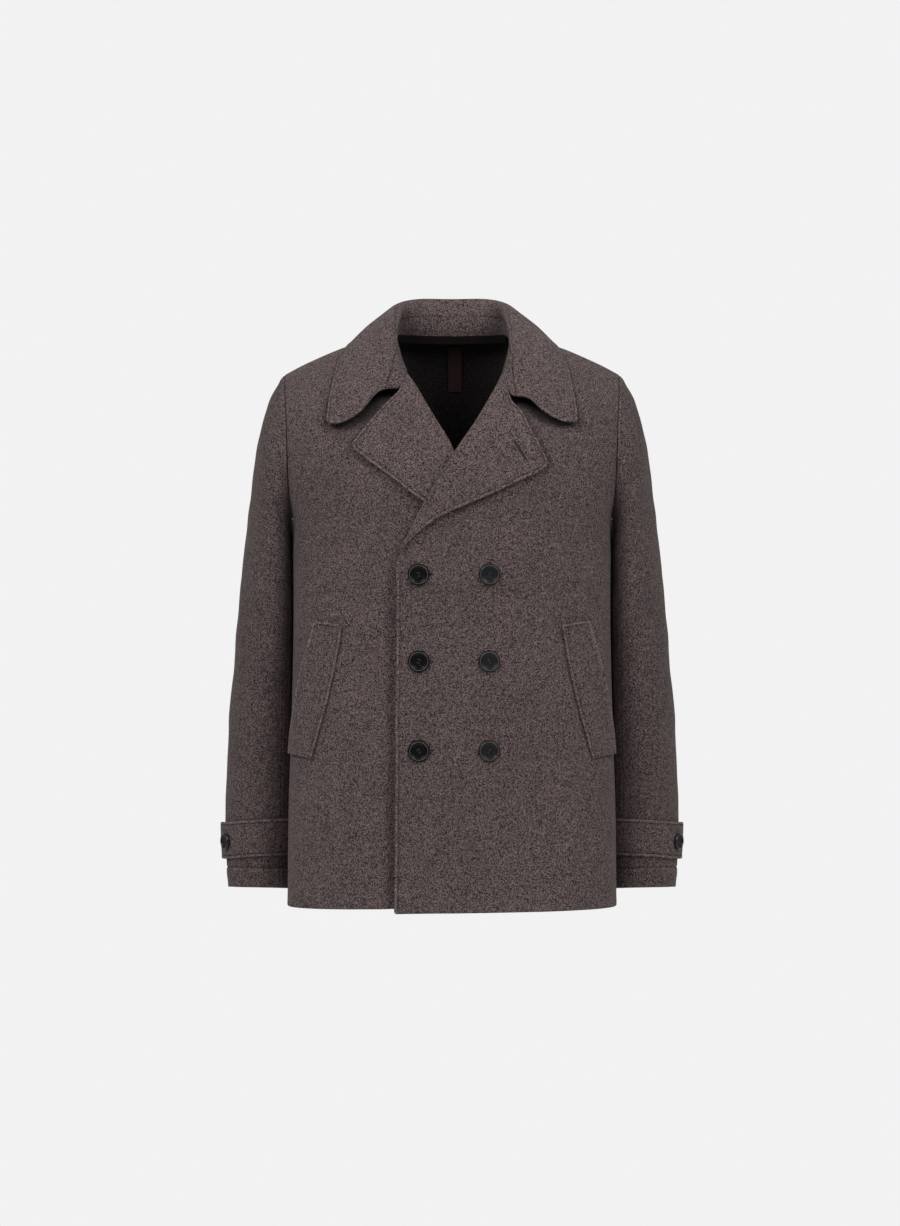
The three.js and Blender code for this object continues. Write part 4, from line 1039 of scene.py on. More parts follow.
FINISHES = {
    "wool": lambda c: melton("wool", colour(c.wool_dark), colour(c.wool_light)),
    # A darker copy of the wool on the inside faces: painted shade
    "wool_inside_painted_shade": lambda c: melton("wool_inside_painted_shade", scaled(c.wool_dark, c.inside_painted_shade),
                                    scaled(c.wool_light, c.inside_painted_shade)),
    "tape": lambda c: twill_tape("tape", c.tape),
    "strip": lambda c: twill_tape("strip", c.strip),
    "button_black": lambda c: polished("button_black", c.button_black, 0.24, 0.22),
    "button_grey": lambda c: polished("button_grey", c.button_grey, 0.3, 0.35),
    # The crest finishes are paler: a painted highlight on the rim
    "button_black_crest": lambda c: polished("button_black_crest", c.painted_crest_highlight, 0.3, 0.5),
    "button_grey_crest": lambda c: polished("button_grey_crest", c.painted_crest_highlight, 0.3, 0.6),
    "thread": lambda c: spun("thread", c.thread),
    "buttonhole": lambda c: spun("buttonhole", c.buttonhole),
    "button_thread": lambda c: spun("button_thread", c.button_thread),
    "paper": lambda c: paper("paper", c.paper),
}


finishes = {}


def finish(name):
    if name not in finishes:
        finishes[name] = FINISHES[name](bpy.context.scene.coat_colours)
    return finishes[name]


# Sizes and colours that a user would change


def length_property(name, description, default):
    return FloatProperty(name=name, description=description, default=default, min=0.0,
                         unit="LENGTH", precision=5)


def colour_property(name, description, default):
    return FloatVectorProperty(name=name, description=description, default=default, min=0.0,
                               max=1.0, size=3, subtype="COLOR")


class CoatSizes(bpy.types.PropertyGroup):
    cloth: length_property("Cloth", "Thickness of the melton", 0.0026)
    collar_cloth: length_property("Collar cloth", "Thickness of collar and lapels", 0.0032)
    strap_cloth: length_property("Strap cloth", "Thickness of the cuff straps", 0.0028)
    cell: length_property("Cell", "Size of the mesh cells on the cloth", 0.0044)
    stitch: length_property("Stitch", "Length of one stitch", 0.0023)
    pitch: length_property("Stitch pitch", "Distance from stitch to stitch", 0.0033)
    stitch_width: length_property("Stitch width", "Width of one stitch", 0.0006)
    button: length_property("Button", "Diameter of a front button", 0.0275)
    cuff_button: length_property("Cuff button", "Diameter of a cuff button", 0.0225)
    camera_distance: length_property("Camera distance", "How far the camera stands off", 5.0)
    button_sides: IntProperty(name="Button sides", description="Facets round a button",
                              default=56, min=12, max=128)


class CoatColours(bpy.types.PropertyGroup):
    wool_dark: colour_property("Dark wool", "Darker wool of the mixture",
                               (0.0150, 0.0113, 0.0113))
    wool_light: colour_property("Light wool", "Lighter wool of the mixture",
                                (0.212, 0.162, 0.160))
    # How dark the painted shade of the inside faces is, as a share of the wool's colour
    inside_painted_shade: FloatProperty(name="Inside share", description="Brightness of the inside",
                                default=0.12, min=0.0, max=1.0, subtype="FACTOR")
    tape: colour_property("Tape", "Neck tape", (0.0065, 0.0042, 0.0043))
    strip: colour_property("Strip", "Hanger strip", (0.04, 0.022, 0.023))
    button_black: colour_property("Black button", "Buttons that fasten", (0.0022, 0.002, 0.0021))
    button_grey: colour_property("Grey button", "Buttons of the other column",
                                 (0.0075, 0.0072, 0.0085))
    # Paler colour of the rim's crest, a painted highlight
    painted_crest_highlight: colour_property("Button crest", "Rubbed crest of a button's rim",
                                  (0.06, 0.059, 0.062))
    thread: colour_property("Thread", "Sewing thread", (0.06, 0.05, 0.048))
    button_thread: colour_property("Button thread", "Thread that holds the buttons",
                                   (0.035, 0.03, 0.029))
    buttonhole: colour_property("Buttonhole", "Buttonhole stitches", (0.014, 0.011, 0.0105))
    paper: colour_property("Paper", "Floor of the studio", (0.84, 0.84, 0.84))


# Making the pieces


def settle(piece, nodes, materials):
    """Gives a piece its finishes and its body, and hides the CAD nodes that it stands for."""
    if not piece.users_collection:
        bpy.context.scene.collection.objects.link(piece)
    piece.data.materials.clear()
    for name in materials:
        piece.data.materials.append(finish(name))
    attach(piece, BODY)
    if nodes:
        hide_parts(*nodes)
    return piece


def cloth_piece(name, outer, inner, nodes, inside="wool", material="wool",
                painted_shading=None, inner_painted_shading=None):
    mesh, outer_faces = wall_mesh(name, outer, inner)
    # Painted shading per point of the outer grid, and of the inner one
    if painted_shading is not None:
        other = np.zeros(painted_shading.size) if inner_painted_shading is None else inner_painted_shading.ravel()
        values = np.concatenate([painted_shading.ravel(), other]).astype(np.float32)
        mesh.attributes.new("painted_shading", "FLOAT", "POINT").data.foreach_set("value", values)
    index = np.zeros(len(mesh.polygons), dtype=np.int32)
    if inside != material:
        index[outer_faces:2 * outer_faces] = 1
    piece = settle(bpy.data.objects.new(name, mesh), nodes,
                   [material] if inside == material else [material, inside])
    mesh.polygons.foreach_set("material_index", index)
    mesh.update()
    return piece


def grid_of(rows, columns):
    return np.meshgrid(rows, columns, indexing="ij")


stitch_lines = []


def keep_stitches(outer, normals, edge, at, start=0.0, end=1.0, stop=()):
    """Keeps the line of stitches that runs beside one edge of a piece.

    edge is first_row, last_row, first_column or last_column; start and end are shares along it,
    and stop names the edges that the line keeps the same distance from.
    """
    names = ("first_row", "last_row", "first_column", "last_column")
    distances = dict(zip(names, edge_distances(outer)))
    away = distances[edge]
    across = edge.endswith("row")
    count = outer.shape[1] if across else outer.shape[0]
    points, directions = [], []
    for k in range(int(round(start * (count - 1))), int(round(end * (count - 1))) + 1):
        line = away[:, k] if across else away[k]
        order = line if line[0] < line[-1] else line[::-1]
        place = np.interp(at, order, np.arange(len(order)))
        place = place if line[0] < line[-1] else len(order) - 1 - place
        low = min(int(place), len(line) - 2)
        share = place - low
        cells = ((low, k), (low + 1, k)) if across else ((k, low), (k, low + 1))
        near = [mix(distances[name][cells[0]], distances[name][cells[1]], share)
                for name in stop]
        if near and min(near) < at:
            continue
        points.append(mix(outer[cells[0]], outer[cells[1]], share))
        directions.append(mix(normals[cells[0]], normals[cells[1]], share))
    if len(points) > 3:
        stitch_lines.append((np.array(points), unit(np.array(directions))))


def panel_name(side):
    return "left" if side > 0 else "right"


def build_front(side):
    sizes = bpy.context.scene.coat_sizes
    cell = sizes.cell / MM
    cloth = sizes.cloth / MM
    v, u = grid_of(spread(740, cell, FINE_EDGE), spread(335, cell, FINE_EDGE))
    surface = front_surface(side, v, u)
    surface = rounded_corner(surface, False, False, 3.5)
    away, along = beside_line(HOLLOW[side], surface[..., 0], surface[..., 2])
    fading = 1 - ease(along, 0.35, 1)
    surface[..., 1] += HOLLOW_DEPTH * bell(away, HOLLOW_WIDTH) * fading
    if side < 0:
        below = 1 - ease(surface[..., 2], VALLEY["from"], VALLEY["to"])
        valley = VALLEY["depth"] * bell(surface[..., 0] - VALLEY["x"], VALLEY["width"])
        surface[..., 1] += valley * below
    normals = grid_normals(surface, surface * (1, 1, 0))
    hem, top, free, seam = edge_distances(surface)
    below_break = 1 - ease(v, BREAK_V - 0.04, BREAK_V)
    relief = np.zeros_like(hem)
    if side > 0:
        relief += over_lift(surface[..., 0], surface[..., 2])
        relief += OVER_EDGE_LIFT * bell(free, OVER_EDGE_WIDTH) * below_break
    relief += stitched(free) * below_break
    relief += seamed(seam) + seamed(top)
    relief += 0.18 * bell(hem - 4, 5) - 0.2 * bell(hem - 42, 2.5)
    outer, inner = cloth_wall(surface, normals, cloth, relief, sewn=(1, 3))
    if side > 0:
        inner = outer - normals * (cloth * 0.97)
    clamp_to_seams(outer, True)
    clamp_to_seams(inner, True)
    keep_stitches(outer, normals, "first_column", 4.4, 0.0, 0.55, ("first_row",))
    # Painted shading of a front: a painted highlight on the raised free edge and painted shade in its
    # stitch groove, in the hollow under the collar, beside the close edges of lapel and collar, and
    # beside the top front's edge
    painted_shading = rubbed_and_painted_edge_shading(free) * below_break
    shade_width = mix(SHADE_END_WIDTH, SHADE_WIDTH, fading)
    painted_shading += HOLLOW_SHADE * bell(away, shade_width) * mix(SHADE_LEFT, 1, fading)
    for edge in CLOSE_EDGES[side]:
        away = beside_line(edge, surface[..., 0], surface[..., 2])[0]
        painted_shading += CLOSE_SHADE * bell(away, CLOSE_WIDTH)
    if side < 0:
        lower = 1 - ease(surface[..., 2], BESIDE_EDGE["from"], BESIDE_EDGE["to"])
        beside = bell(surface[..., 0] - BESIDE_EDGE["x"], BESIDE_EDGE["width"])
        painted_shading += BESIDE_EDGE["shade"] * beside * lower
    name = f"front_{panel_name(side)}"
    piece = cloth_piece(f"cloth_{name}", outer, inner, [name], "wool_inside_painted_shade", painted_shading=painted_shading)
    return piece


def build_back(side):
    sizes = bpy.context.scene.coat_sizes
    cell = sizes.cell / MM
    v, u = grid_of(spread(740, cell, FINE_EDGE), spread(300, cell))
    surface = back_surface(side, v, u)
    normals = grid_normals(surface, surface * (1, 1, 0))
    hem, top, middle, seam = edge_distances(surface)
    relief = seamed(middle) + seamed(seam) + seamed(top)
    relief += 0.18 * bell(hem - 4, 5) - 0.2 * bell(hem - 42, 2.5)
    outer, inner = cloth_wall(surface, normals, sizes.cloth / MM, relief, sewn=(1, 2, 3))
    for points in (outer, inner):
        clamp_to_seams(points, False)
        points[..., 0] = side * np.maximum(side * points[..., 0], SEAM_GAP / 2)
    # Painted shade along the middle seam, with a painted highlight beside it, and along the side seam
    # below the armhole
    painted_shading = 1.2 * SEAM_SHADE * bell(middle, 1.4) + 0.4 * bell(middle - 4, 2.0)
    painted_shading += SEAM_SHADE * bell(seam, 1.1) * ease(-surface[..., 2], 230, 250)
    name = f"back_{panel_name(side)}"
    piece = cloth_piece(f"cloth_{name}", outer, inner, [name], "wool_inside_painted_shade", painted_shading=painted_shading)
    return piece


lapel_tops = {}


def build_lapel(side):
    sizes = bpy.context.scene.coat_sizes
    cloth = sizes.collar_cloth / MM
    k = np.concatenate([np.linspace(0, 3, 22), np.linspace(3, 7, 34)[1:-1],
                        7 - np.array((0.30, 0.26, 0.22, 0.185, 0.15, 0.11, 0.07, 0.035, 0.012, 0))])
    k = np.unique(np.round(k, 5))
    t, k = grid_of(spread(240, 3.4, SEAM_EDGE, FINE_EDGE), k)
    surface = lapel_surface(side, t, k)
    surface = rounded_corner(surface, True, True, 4.5)
    turn = stacked(-side * LAPEL_TURN[0], -0.3, LAPEL_TURN[1])
    facing = np.where((k < 1.2)[..., None], turn, np.array((0, -1, 0.2)))
    normals = grid_normals(surface, facing)
    start, gorge, roll, edge = edge_distances(surface)
    sewn_off = ease(roll, 8, 14)
    relief = stitched(edge) + stitched(gorge) * sewn_off
    # Painted highlight on the raised edges and painted shade in their stitch grooves
    painted_shading = rubbed_and_painted_edge_shading(edge) * (gorge > 4.4) + rubbed_and_painted_edge_shading(gorge) * sewn_off * (edge > 4.4)
    outer, inner = cloth_wall(surface, normals, cloth, relief)
    lapel_tops[side] = outer[:, k[0] > 2.5].reshape(-1, 3)
    keep_stitches(outer, normals, "last_column", 4.4, 0.0, 1.0, ("last_row", "first_row"))
    keep_stitches(outer, normals, "last_row", 4.4, 0.2, 1.0, ("last_column",))
    name = f"lapel_{panel_name(side)}"
    # Painted light over the whole lapel
    piece = cloth_piece(f"cloth_{name}", outer, inner, [name], painted_shading=painted_shading + LAPEL_PAINTED_LIGHT)
    return piece


def build_collar():
    """The fall and the stand, two cuts of one curved sheet."""
    sizes = bpy.context.scene.coat_sizes
    cloth = sizes.collar_cloth / MM
    made = []
    for name, is_fall in (("collar", True), ("collar_stand", False)):
        rows = spread(640, sizes.cell / MM, FINE_EDGE, FINE_EDGE) * 2 - 1
        columns = spread(95, 3.0, SEAM_EDGE, FINE_EDGE) if is_fall else spread(42, 2.6)
        signed, across = grid_of(rows, columns)
        seam = collar_seam(np.abs(signed))
        low = seam + COLLAR_SEAM_HALF if is_fall else np.zeros_like(seam)
        high = np.ones_like(seam) if is_fall else seam - COLLAR_SEAM_HALF
        surface = collar_surface(signed, mix(low, high, across))
        if is_fall:
            surface = rounded_corner(surface, True, True, 6)
            surface = rounded_corner(surface, False, True, 6)
        facing = surface * (1, 1, 0) + np.array((0, 10, 30))
        normals = grid_normals(surface, facing)
        first, last, inner_edge, outer_edge = edge_distances(surface)
        if is_fall:
            ends = np.minimum(first, last)
            free_end = ease(inner_edge, 6, 16)
            relief = stitched(outer_edge) + stitched(ends) * free_end
            relief += seamed(inner_edge)
            # Painted highlight on the raised edges, painted shade in their stitch grooves, on the seam
            # and in the deep folds beside the neck
            painted_shading = rubbed_and_painted_edge_shading(outer_edge) * (ends > 4.4) + rubbed_and_painted_edge_shading(ends) * free_end * (outer_edge > 4.4)
            painted_shading += SEAM_SHADE * bell(inner_edge, 1.1)
            painted_shading += FOLD_SHADE * bell(np.abs(signed) - 0.36, 0.14) * (1 - ease(inner_edge, 4, 18))
        else:
            relief = seamed(outer_edge) + seamed(inner_edge)
            # Painted shade on the seam, in the deep folds and along the neck edge
            painted_shading = SEAM_SHADE * bell(outer_edge, 1.1)
            painted_shading += FOLD_SHADE * bell(np.abs(signed) - 0.36, 0.14)
            painted_shading += 0.8 * FOLD_SHADE * (1 - ease(inner_edge, 4, 20)) * (np.abs(signed) < 0.6)
        outer, inner = cloth_wall(surface, normals, cloth, relief, centred=True,
                                  sewn=(2,) if is_fall else (3,))
        if is_fall:
            keep_stitches(outer, normals, "last_column", 4.4, 0, 1, ("first_row", "last_row"))
            for edge in ("first_row", "last_row"):
                keep_stitches(outer, normals, edge, 4.4, 0.2, 1.0, ("last_column",))
        # Painted light over the whole fall; the painted shading goes on both faces
        painted_shading += COLLAR_PAINTED_LIGHT * is_fall
        piece = cloth_piece(f"cloth_{name}", outer, inner, [name], painted_shading=painted_shading, inner_painted_shading=painted_shading)
        made.append(piece)
    return made


def build_sleeve_piece(side, part, start, end):
    sizes = bpy.context.scene.coat_sizes
    cell = sizes.cell / MM
    cloth = sizes.cloth / MM
    around = (end - start) * math.pi / 180 * 62
    length = spread(690, cell, SEAM_EDGE, FINE_EDGE) ** 1.25
    beside_hem = np.linspace(-HEM_ROWS_REACH, HEM_ROWS_REACH, HEM_ROWS)
    near_hem = 1 - (CUFF_HEM + beside_hem) / SLEEVE_LENGTH
    length = length[(length < near_hem[-1]) | (length > near_hem[0])]
    length = np.sort(np.concatenate([length, near_hem]))
    length, across = grid_of(length, spread(around, cell))
    angle = mix(start, end, across)
    surface = sleeve_surface(angle, length)
    plain = sleeve_normal(angle, length, np.ones(angle.shape, dtype=bool))
    free = sleeve_normal(angle, length)
    normals = unit(mix(plain, free, ease(length, 0, 0.02)[..., None]))
    head, cuff, first, last = edge_distances(surface)
    relief = seamed(first, 0.35) + seamed(last, 0.35) + seamed(head)
    relief += 0.9 * bell(head - 7, 5) * np.clip(np.cos(np.radians(angle)), 0, 1)
    relief += -1.1 * bell(cuff - CUFF_HEM, 1.2) + 0.9 * bell(cuff - 18, 9)
    # Painted shade in the cuff's hem groove and along the armhole seam, with painted highlights beside
    # them
    painted_shading = -0.9 * bell(cuff - CUFF_HEM, 1.0) + 0.5 * bell(cuff - CUFF_HEM + 3, 1.8)
    painted_shading += SEAM_SHADE * bell(head, 1.0) + 0.5 * bell(head - 2.8, 1.3)
    outer, inner = cloth_wall(surface, normals, cloth, relief, sewn=(0, 2, 3))
    outer, inner = outer * (side, 1, 1), inner * (side, 1, 1)
    name = f"sleeve_{panel_name(side)}_{part}"
    # Painted shade over the whole sleeve
    piece = cloth_piece(f"cloth_{name}", outer, inner, [name], "wool_inside_painted_shade",
                        painted_shading=painted_shading + SLEEVE_PAINTED_SHADE)
    return piece


def build_strap(side):
    sizes = bpy.context.scene.coat_sizes
    cloth = sizes.strap_cloth / MM
    around, down = grid_of(spread(150, 3.0, SEAM_EDGE, FINE_EDGE),
                           spread(48, 2.4, FINE_EDGE, FINE_EDGE))
    tongue = STRAP["to"] - 7 * (2 * down - 1) ** 2
    angle = mix(STRAP["from"], tongue, around)
    height = mix(STRAP["top"], STRAP["bottom"], down) + STRAP_CLIMB * ease(-angle, 0, 110)
    lift = STRAP["seat"] + cloth + TONGUE_LIFT * ease(angle, -50, 0)
    surface = on_sleeve(side, angle, height, lift[..., None])
    surface = rounded_corner(surface, True, True, 7)
    surface = rounded_corner(surface, True, False, 7)
    turn = np.radians(angle)
    facing = stacked(side * np.cos(turn), np.sin(turn), np.zeros_like(turn))
    normals = grid_normals(surface, facing)
    sewn, tip, top, bottom = edge_distances(surface)
    nearest = np.minimum(np.minimum(top, bottom), tip)
    relief = stitched(nearest)
    outer, inner = cloth_wall(surface, normals, cloth, relief)
    for edge in ("first_column", "last_column"):
        keep_stitches(outer, normals, edge, 4.4, 0, 1, ("last_row",))
    keep_stitches(outer, normals, "last_row", 4.4, 0, 1, ("first_column", "last_column"))
    word = panel_name(side)
    # Painted highlight on the raised edges and painted shade in their stitch grooves
    piece = cloth_piece(f"cloth_strap_{word}", outer, inner, [f"strap_{word}"],
                        painted_shading=rubbed_and_painted_edge_shading(nearest))
    return piece


def build_welt(side):
    down, outward = grid_of(spread(180, 3.4, FINE_EDGE, FINE_EDGE),
                            spread(33, 2.2, FINE_EDGE, FINE_EDGE))
    x = mix(welt_row(down, "xi"), welt_row(down, "xo"), outward)
    z = mix(welt_row(down, "zi"), welt_row(down, "zo"), outward)
    lift = WELT_SEAT + WELT_CLOTH + WELT_EDGE_LIFT * ease(outward, 0.55, 1)
    surface = over_front(side, side * x, z, lift)
    surface = rounded_corner(surface, False, False, 2.5)
    surface = rounded_corner(surface, False, True, 2.5)
    normals = grid_normals(surface, surface * (1, 1, 0))
    top, bottom, inside, outside = edge_distances(surface)
    nearest = np.minimum(np.minimum(top, inside), outside)
    relief = stitched(nearest, 4.0, 0.6)
    outer, inner = cloth_wall(surface, normals, WELT_CLOTH, relief)
    keep_stitches(outer, normals, "first_column", 4.0, 0, 1, ("first_row",))
    keep_stitches(outer, normals, "first_row", 4.0, 0, 1, ("first_column", "last_column"))
    word = panel_name(side)
    # Painted highlight on the raised edges and along the outer edge, painted shade in the stitch grooves
    piece = cloth_piece(f"cloth_welt_{word}", outer, inner, [f"welt_{word}"],
                        painted_shading=rubbed_and_painted_edge_shading(nearest, 4.0) + 0.9 * bell(outside - 2, 3.2))
    return piece


def build_neck_tape():
    along, up = grid_of(spread(190, 3.0, SEAM_EDGE[:3], SEAM_EDGE[:3]),
                        spread(11, 1.0, SEAM_EDGE[:3], SEAM_EDGE[:3]))
    signed = mix(-NECK_TAPE["reach"], NECK_TAPE["reach"], along)
    share = np.abs(signed)
    x = np.sign(signed) * collar_row(share, "nx")
    y = collar_row(share, "ny")
    z = collar_row(share, "nz") + mix(NECK_TAPE["bottom"], NECK_TAPE["top"], up)
    inward = unit(stacked(-x, -y, np.zeros_like(x)))
    reach = 1.6 + NECK_TAPE["seat"] + TAPE_CLOTH
    surface = stacked(x, y, z) + inward * reach
    normals = grid_normals(surface, inward)
    relief = 0.08 * np.sin(along * 46) + 0.06 * np.sin(along * 17 + 1)
    outer, inner = cloth_wall(surface, normals, TAPE_CLOTH, relief)
    piece = cloth_piece("woven_neck_tape", outer, inner, ["neck_tape"], "tape", "tape")
    return piece


def build_hanger_strip():
    down, across = grid_of(spread(63, 2.0, SEAM_EDGE[:3], SEAM_EDGE[:3]),
                           spread(19, 1.2, SEAM_EDGE[:3], SEAM_EDGE[:3]))
    strip = HANGER_STRIP
    x = mix(strip["middle"], strip["middle"] + strip["width"], across - 0.5)
    z = mix(strip["top"], strip["bottom"], down)
    clear = 2.6 + strip["away"] * (1 - down) ** 2 + strip["seat"] + TAPE_CLOTH
    surface = body_surface(x, z, False) - surface_normal(x, z, False) * clear[..., None]
    normals = grid_normals(surface, np.array((0, -1, 0.1)))
    left, right = edge_distances(surface)[2:]
    relief = -0.25 * (bell(left - 1.6, 0.5) + bell(right - 1.6, 0.5))
    outer, inner = cloth_wall(surface, normals, TAPE_CLOTH, relief)
    piece = cloth_piece("woven_hanger_strip", outer, inner, ["hanger_strip"], "strip", "strip")
    return piece


BUTTON_PROFILE = (
    (0, 2.3), (0.3, 2.25), (0.56, 2.3), (0.66, 2.5), (0.72, 3.0), (0.765, 3.85), (0.8, 4.4),
    (0.835, 4.6), (0.868, 4.42), (0.9, 4.0), (0.94, 3.5), (0.98, 2.9), (1.0, 2.3),
    (0.985, 1.6), (0.95, 0.9), (0.88, 0.3), (0.8, 0), (0, 0),
)
BUTTON_HEIGHT = 4.6
# Shares of the radius between which the rim's crest has a paler finish, a painted highlight
CREST = (0.79, 0.86)
HOLE_RADIUS, HOLE_CIRCLE = 1.2, 3.0
BUTTON_ROWS = (-311, -421, -534.5)
BUTTON_COLUMNS = {"right": (-41.7, "button_black"), "left": (46.8, "button_grey")}
CUFF_BUTTON_ANGLE = -31


def object_from_bmesh(name, bm):
    mesh = bpy.data.meshes.new(name)
    bm.to_mesh(mesh)
    bm.free()
    made = bpy.data.objects.new(name, mesh)
    bpy.context.scene.collection.objects.link(made)
    return made


def evaluated_mesh(made, name):
    """The plain mesh that an object's modifiers make; the object itself is removed."""
    graph = bpy.context.evaluated_depsgraph_get()
    mesh = bpy.data.meshes.new_from_object(made.evaluated_get(graph))
    mesh.name = name
    bpy.data.objects.remove(made, do_unlink=True)
    return mesh


def button_mesh(name, diameter, sides):
    """A rimmed disc with four holes, standing on the origin, facing up."""
    radius = diameter / 2
    bm = bmesh.new()
    rings = []
    lower_half = False
    for share, height in BUTTON_PROFILE:
        count = 1 if share == 0 else sides
        turns = [2 * math.pi * k / count for k in range(count)]
        rings.append([
            bm.verts.new((share * radius * math.cos(turn), share * radius * math.sin(turn),
                          height * MM))
            for turn in turns
        ])
    for (share, _), upper, lower in zip(BUTTON_PROFILE, rings, rings[1:]):
        for k in range(sides):
            corners = [upper[k % len(upper)], lower[k % len(lower)],
                       lower[(k + 1) % len(lower)], upper[(k + 1) % len(upper)]]
            face = bm.faces.new(list(dict.fromkeys(corners)))
            face.material_index = int(CREST[0] <= share < CREST[1] and not lower_half)
        lower_half = lower_half or share == 1.0
    bmesh.ops.recalc_face_normals(bm, faces=bm.faces)
    disc = object_from_bmesh(name, bm)
    drill = bmesh.new()
    for k in range(4):
        turn = math.radians(45 + 90 * k)
        place = Matrix.Translation((HOLE_CIRCLE * MM * math.cos(turn),
                                    HOLE_CIRCLE * MM * math.sin(turn), 0.002))
        bmesh.ops.create_cone(drill, cap_ends=True, segments=20, radius1=HOLE_RADIUS * MM,
                              radius2=HOLE_RADIUS * MM, depth=0.012, matrix=place)
    holes = object_from_bmesh(f"{name}_holes", drill)
    cut = disc.modifiers.new("Holes", "BOOLEAN")
    cut.operation = "DIFFERENCE"
    cut.object = holes
    mesh = evaluated_mesh(disc, name)
    bpy.data.objects.remove(holes, do_unlink=True)
    mesh.shade_smooth()
    return mesh


def button_seats():
    """Each button's name, finish, diameter, direction and the middle of its CAD solid."""
    sizes = bpy.context.scene.coat_sizes
    seats = []
    for word, (x, material) in BUTTON_COLUMNS.items():
        for row, z in enumerate(BUTTON_ROWS, 1):
            normal = surface_normal(np.array(float(x)), np.array(float(z)), True)
            seats.append((f"button_{word}_{row}", material, sizes.button, normal))
    middle = (STRAP["top"] + STRAP["bottom"]) / 2
    angle = np.array(float(CUFF_BUTTON_ANGLE))
    normal = sleeve_normal(angle, length_at_height(angle, middle))
    for side in (1, -1):
        seats.append((f"cuff_button_{panel_name(side)}", "button_grey", sizes.cuff_button,
                      normal * (side, 1, 1)))
    return [(*seat, Vector(seat[3].tolist()).normalized(), box_middle(seat[0]))
            for seat in seats]


def box_middle(node):
    low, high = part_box(node)
    return (Vector(low) + Vector(high)) / 2


def tube(bm, points, radius, closed, sides=8, material=0):
    """Adds a round strand along the points, in metres."""
    count = len(points)
    rings = []
    for k, point in enumerate(points):
        before = points[(k - 1) % count] if closed or k > 0 else point
        after = points[(k + 1) % count] if closed or k < count - 1 else point
        along = (after - before).normalized()
        across = along.orthogonal().normalized() if not rings else (
            rings[-1][1] - along * rings[-1][1].dot(along)).normalized()
        up = along.cross(across)
        ring = [
            bm.verts.new(point + (across * math.cos(2 * math.pi * s / sides)
                                  + up * math.sin(2 * math.pi * s / sides)) * radius)
            for s in range(sides)
        ]
        rings.append((ring, across))
    pairs = list(zip(rings, rings[1:])) + ([(rings[-1], rings[0])] if closed else [])
    for (ring, _), (following, _) in pairs:
        for s in range(sides):
            face = bm.faces.new((ring[s], ring[(s + 1) % sides], following[(s + 1) % sides],
                                 following[s]))
            face.material_index = material
            face.smooth = True
    if not closed:
        bm.faces.new(rings[0][0][::-1]).material_index = material
        bm.faces.new(rings[-1][0]).material_index = material


def build_buttons():
    sizes = bpy.context.scene.coat_sizes
    shapes = {
        diameter: button_mesh(f"button_shape_{int(diameter * 1e4)}", diameter,
                              sizes.button_sides)
        for diameter in (sizes.button, sizes.cuff_button)
    }
    strands = bmesh.new()
    for index, (name, material, diameter, _, normal, middle) in enumerate(button_seats()):
        turned = normal.to_track_quat("Z", "Y").to_matrix().to_4x4()
        slant = Matrix.Rotation(math.radians((12, -20, 31, -8, 25, -33, 18, -14)[index]), 4, "Z")
        base = middle - normal * (BUTTON_HEIGHT / 2 * MM)
        place = Matrix.Translation(base) @ turned @ slant
        mesh = shapes[diameter].copy()
        mesh.name = f"turned_{name}"
        mesh.transform(place)
        # Faces on the rim's crest take the finish with the painted highlight
        crest = np.zeros(len(mesh.polygons), dtype=np.int32)
        mesh.polygons.foreach_get("material_index", crest)
        settle(bpy.data.objects.new(f"turned_{name}", mesh), [name],
               [material, f"{material}_crest"])
        mesh.polygons.foreach_set("material_index", crest)
        for row in (-1, 1):
            for offset in (-0.35, 0.35):
                reach = HOLE_CIRCLE * math.sqrt(0.5)
                line = [(-reach, 1.2), (-reach * 0.85, 2.4), (-reach * 0.3, 2.75),
                        (reach * 0.3, 2.75), (reach * 0.85, 2.4), (reach, 1.2)]
                points = [
                    place @ Vector((along * MM, (row * reach + offset) * MM, up * MM))
                    for along, up in line
                ]
                tube(strands, points, 0.00032, False, 6)
    bmesh.ops.recalc_face_normals(strands, faces=strands.faces)
    threads = object_from_bmesh("button_threads", strands)
    settle(threads, [], ["button_thread"])
    return threads


def on_lapel(x, z, lift):
    """A point over the top lapel's cloth, from the cloth points nearest to it."""
    top = lapel_tops[1]
    away = np.hypot(top[:, 0] - x, top[:, 2] - z)
    near = np.argsort(away)[:4]
    weight = 1 / (away[near] + 0.1)
    return np.array((x, (top[near, 1] * weight).sum() / weight.sum() - lift, z))


def loop_over(centre, half_length, half_width, lean, lift, place):
    """A closed loop round a slit, in metres, laid on the cloth by the function place."""
    points = []
    for k in range(36):
        turn = 2 * math.pi * k / 36
        along = half_length * math.copysign(abs(math.cos(turn)) ** 0.55, math.cos(turn))
        across = half_width * math.sin(turn)
        x = centre[0] + along * math.cos(lean) - across * math.sin(lean)
        z = centre[1] + along * math.sin(lean) + across * math.cos(lean)
        points.append(Vector((place(x, z, lift) * MM).tolist()))
    return points


BUTTONHOLE = {"centre": (86.5, -154.8), "half": 15.5, "lean": -58, "lift": 0.2}
EYES = {"x": -31.5, "half": 7.5, "lift": 0.35}
TACK = ((81.5, -180.5), (84.0, -186.0))


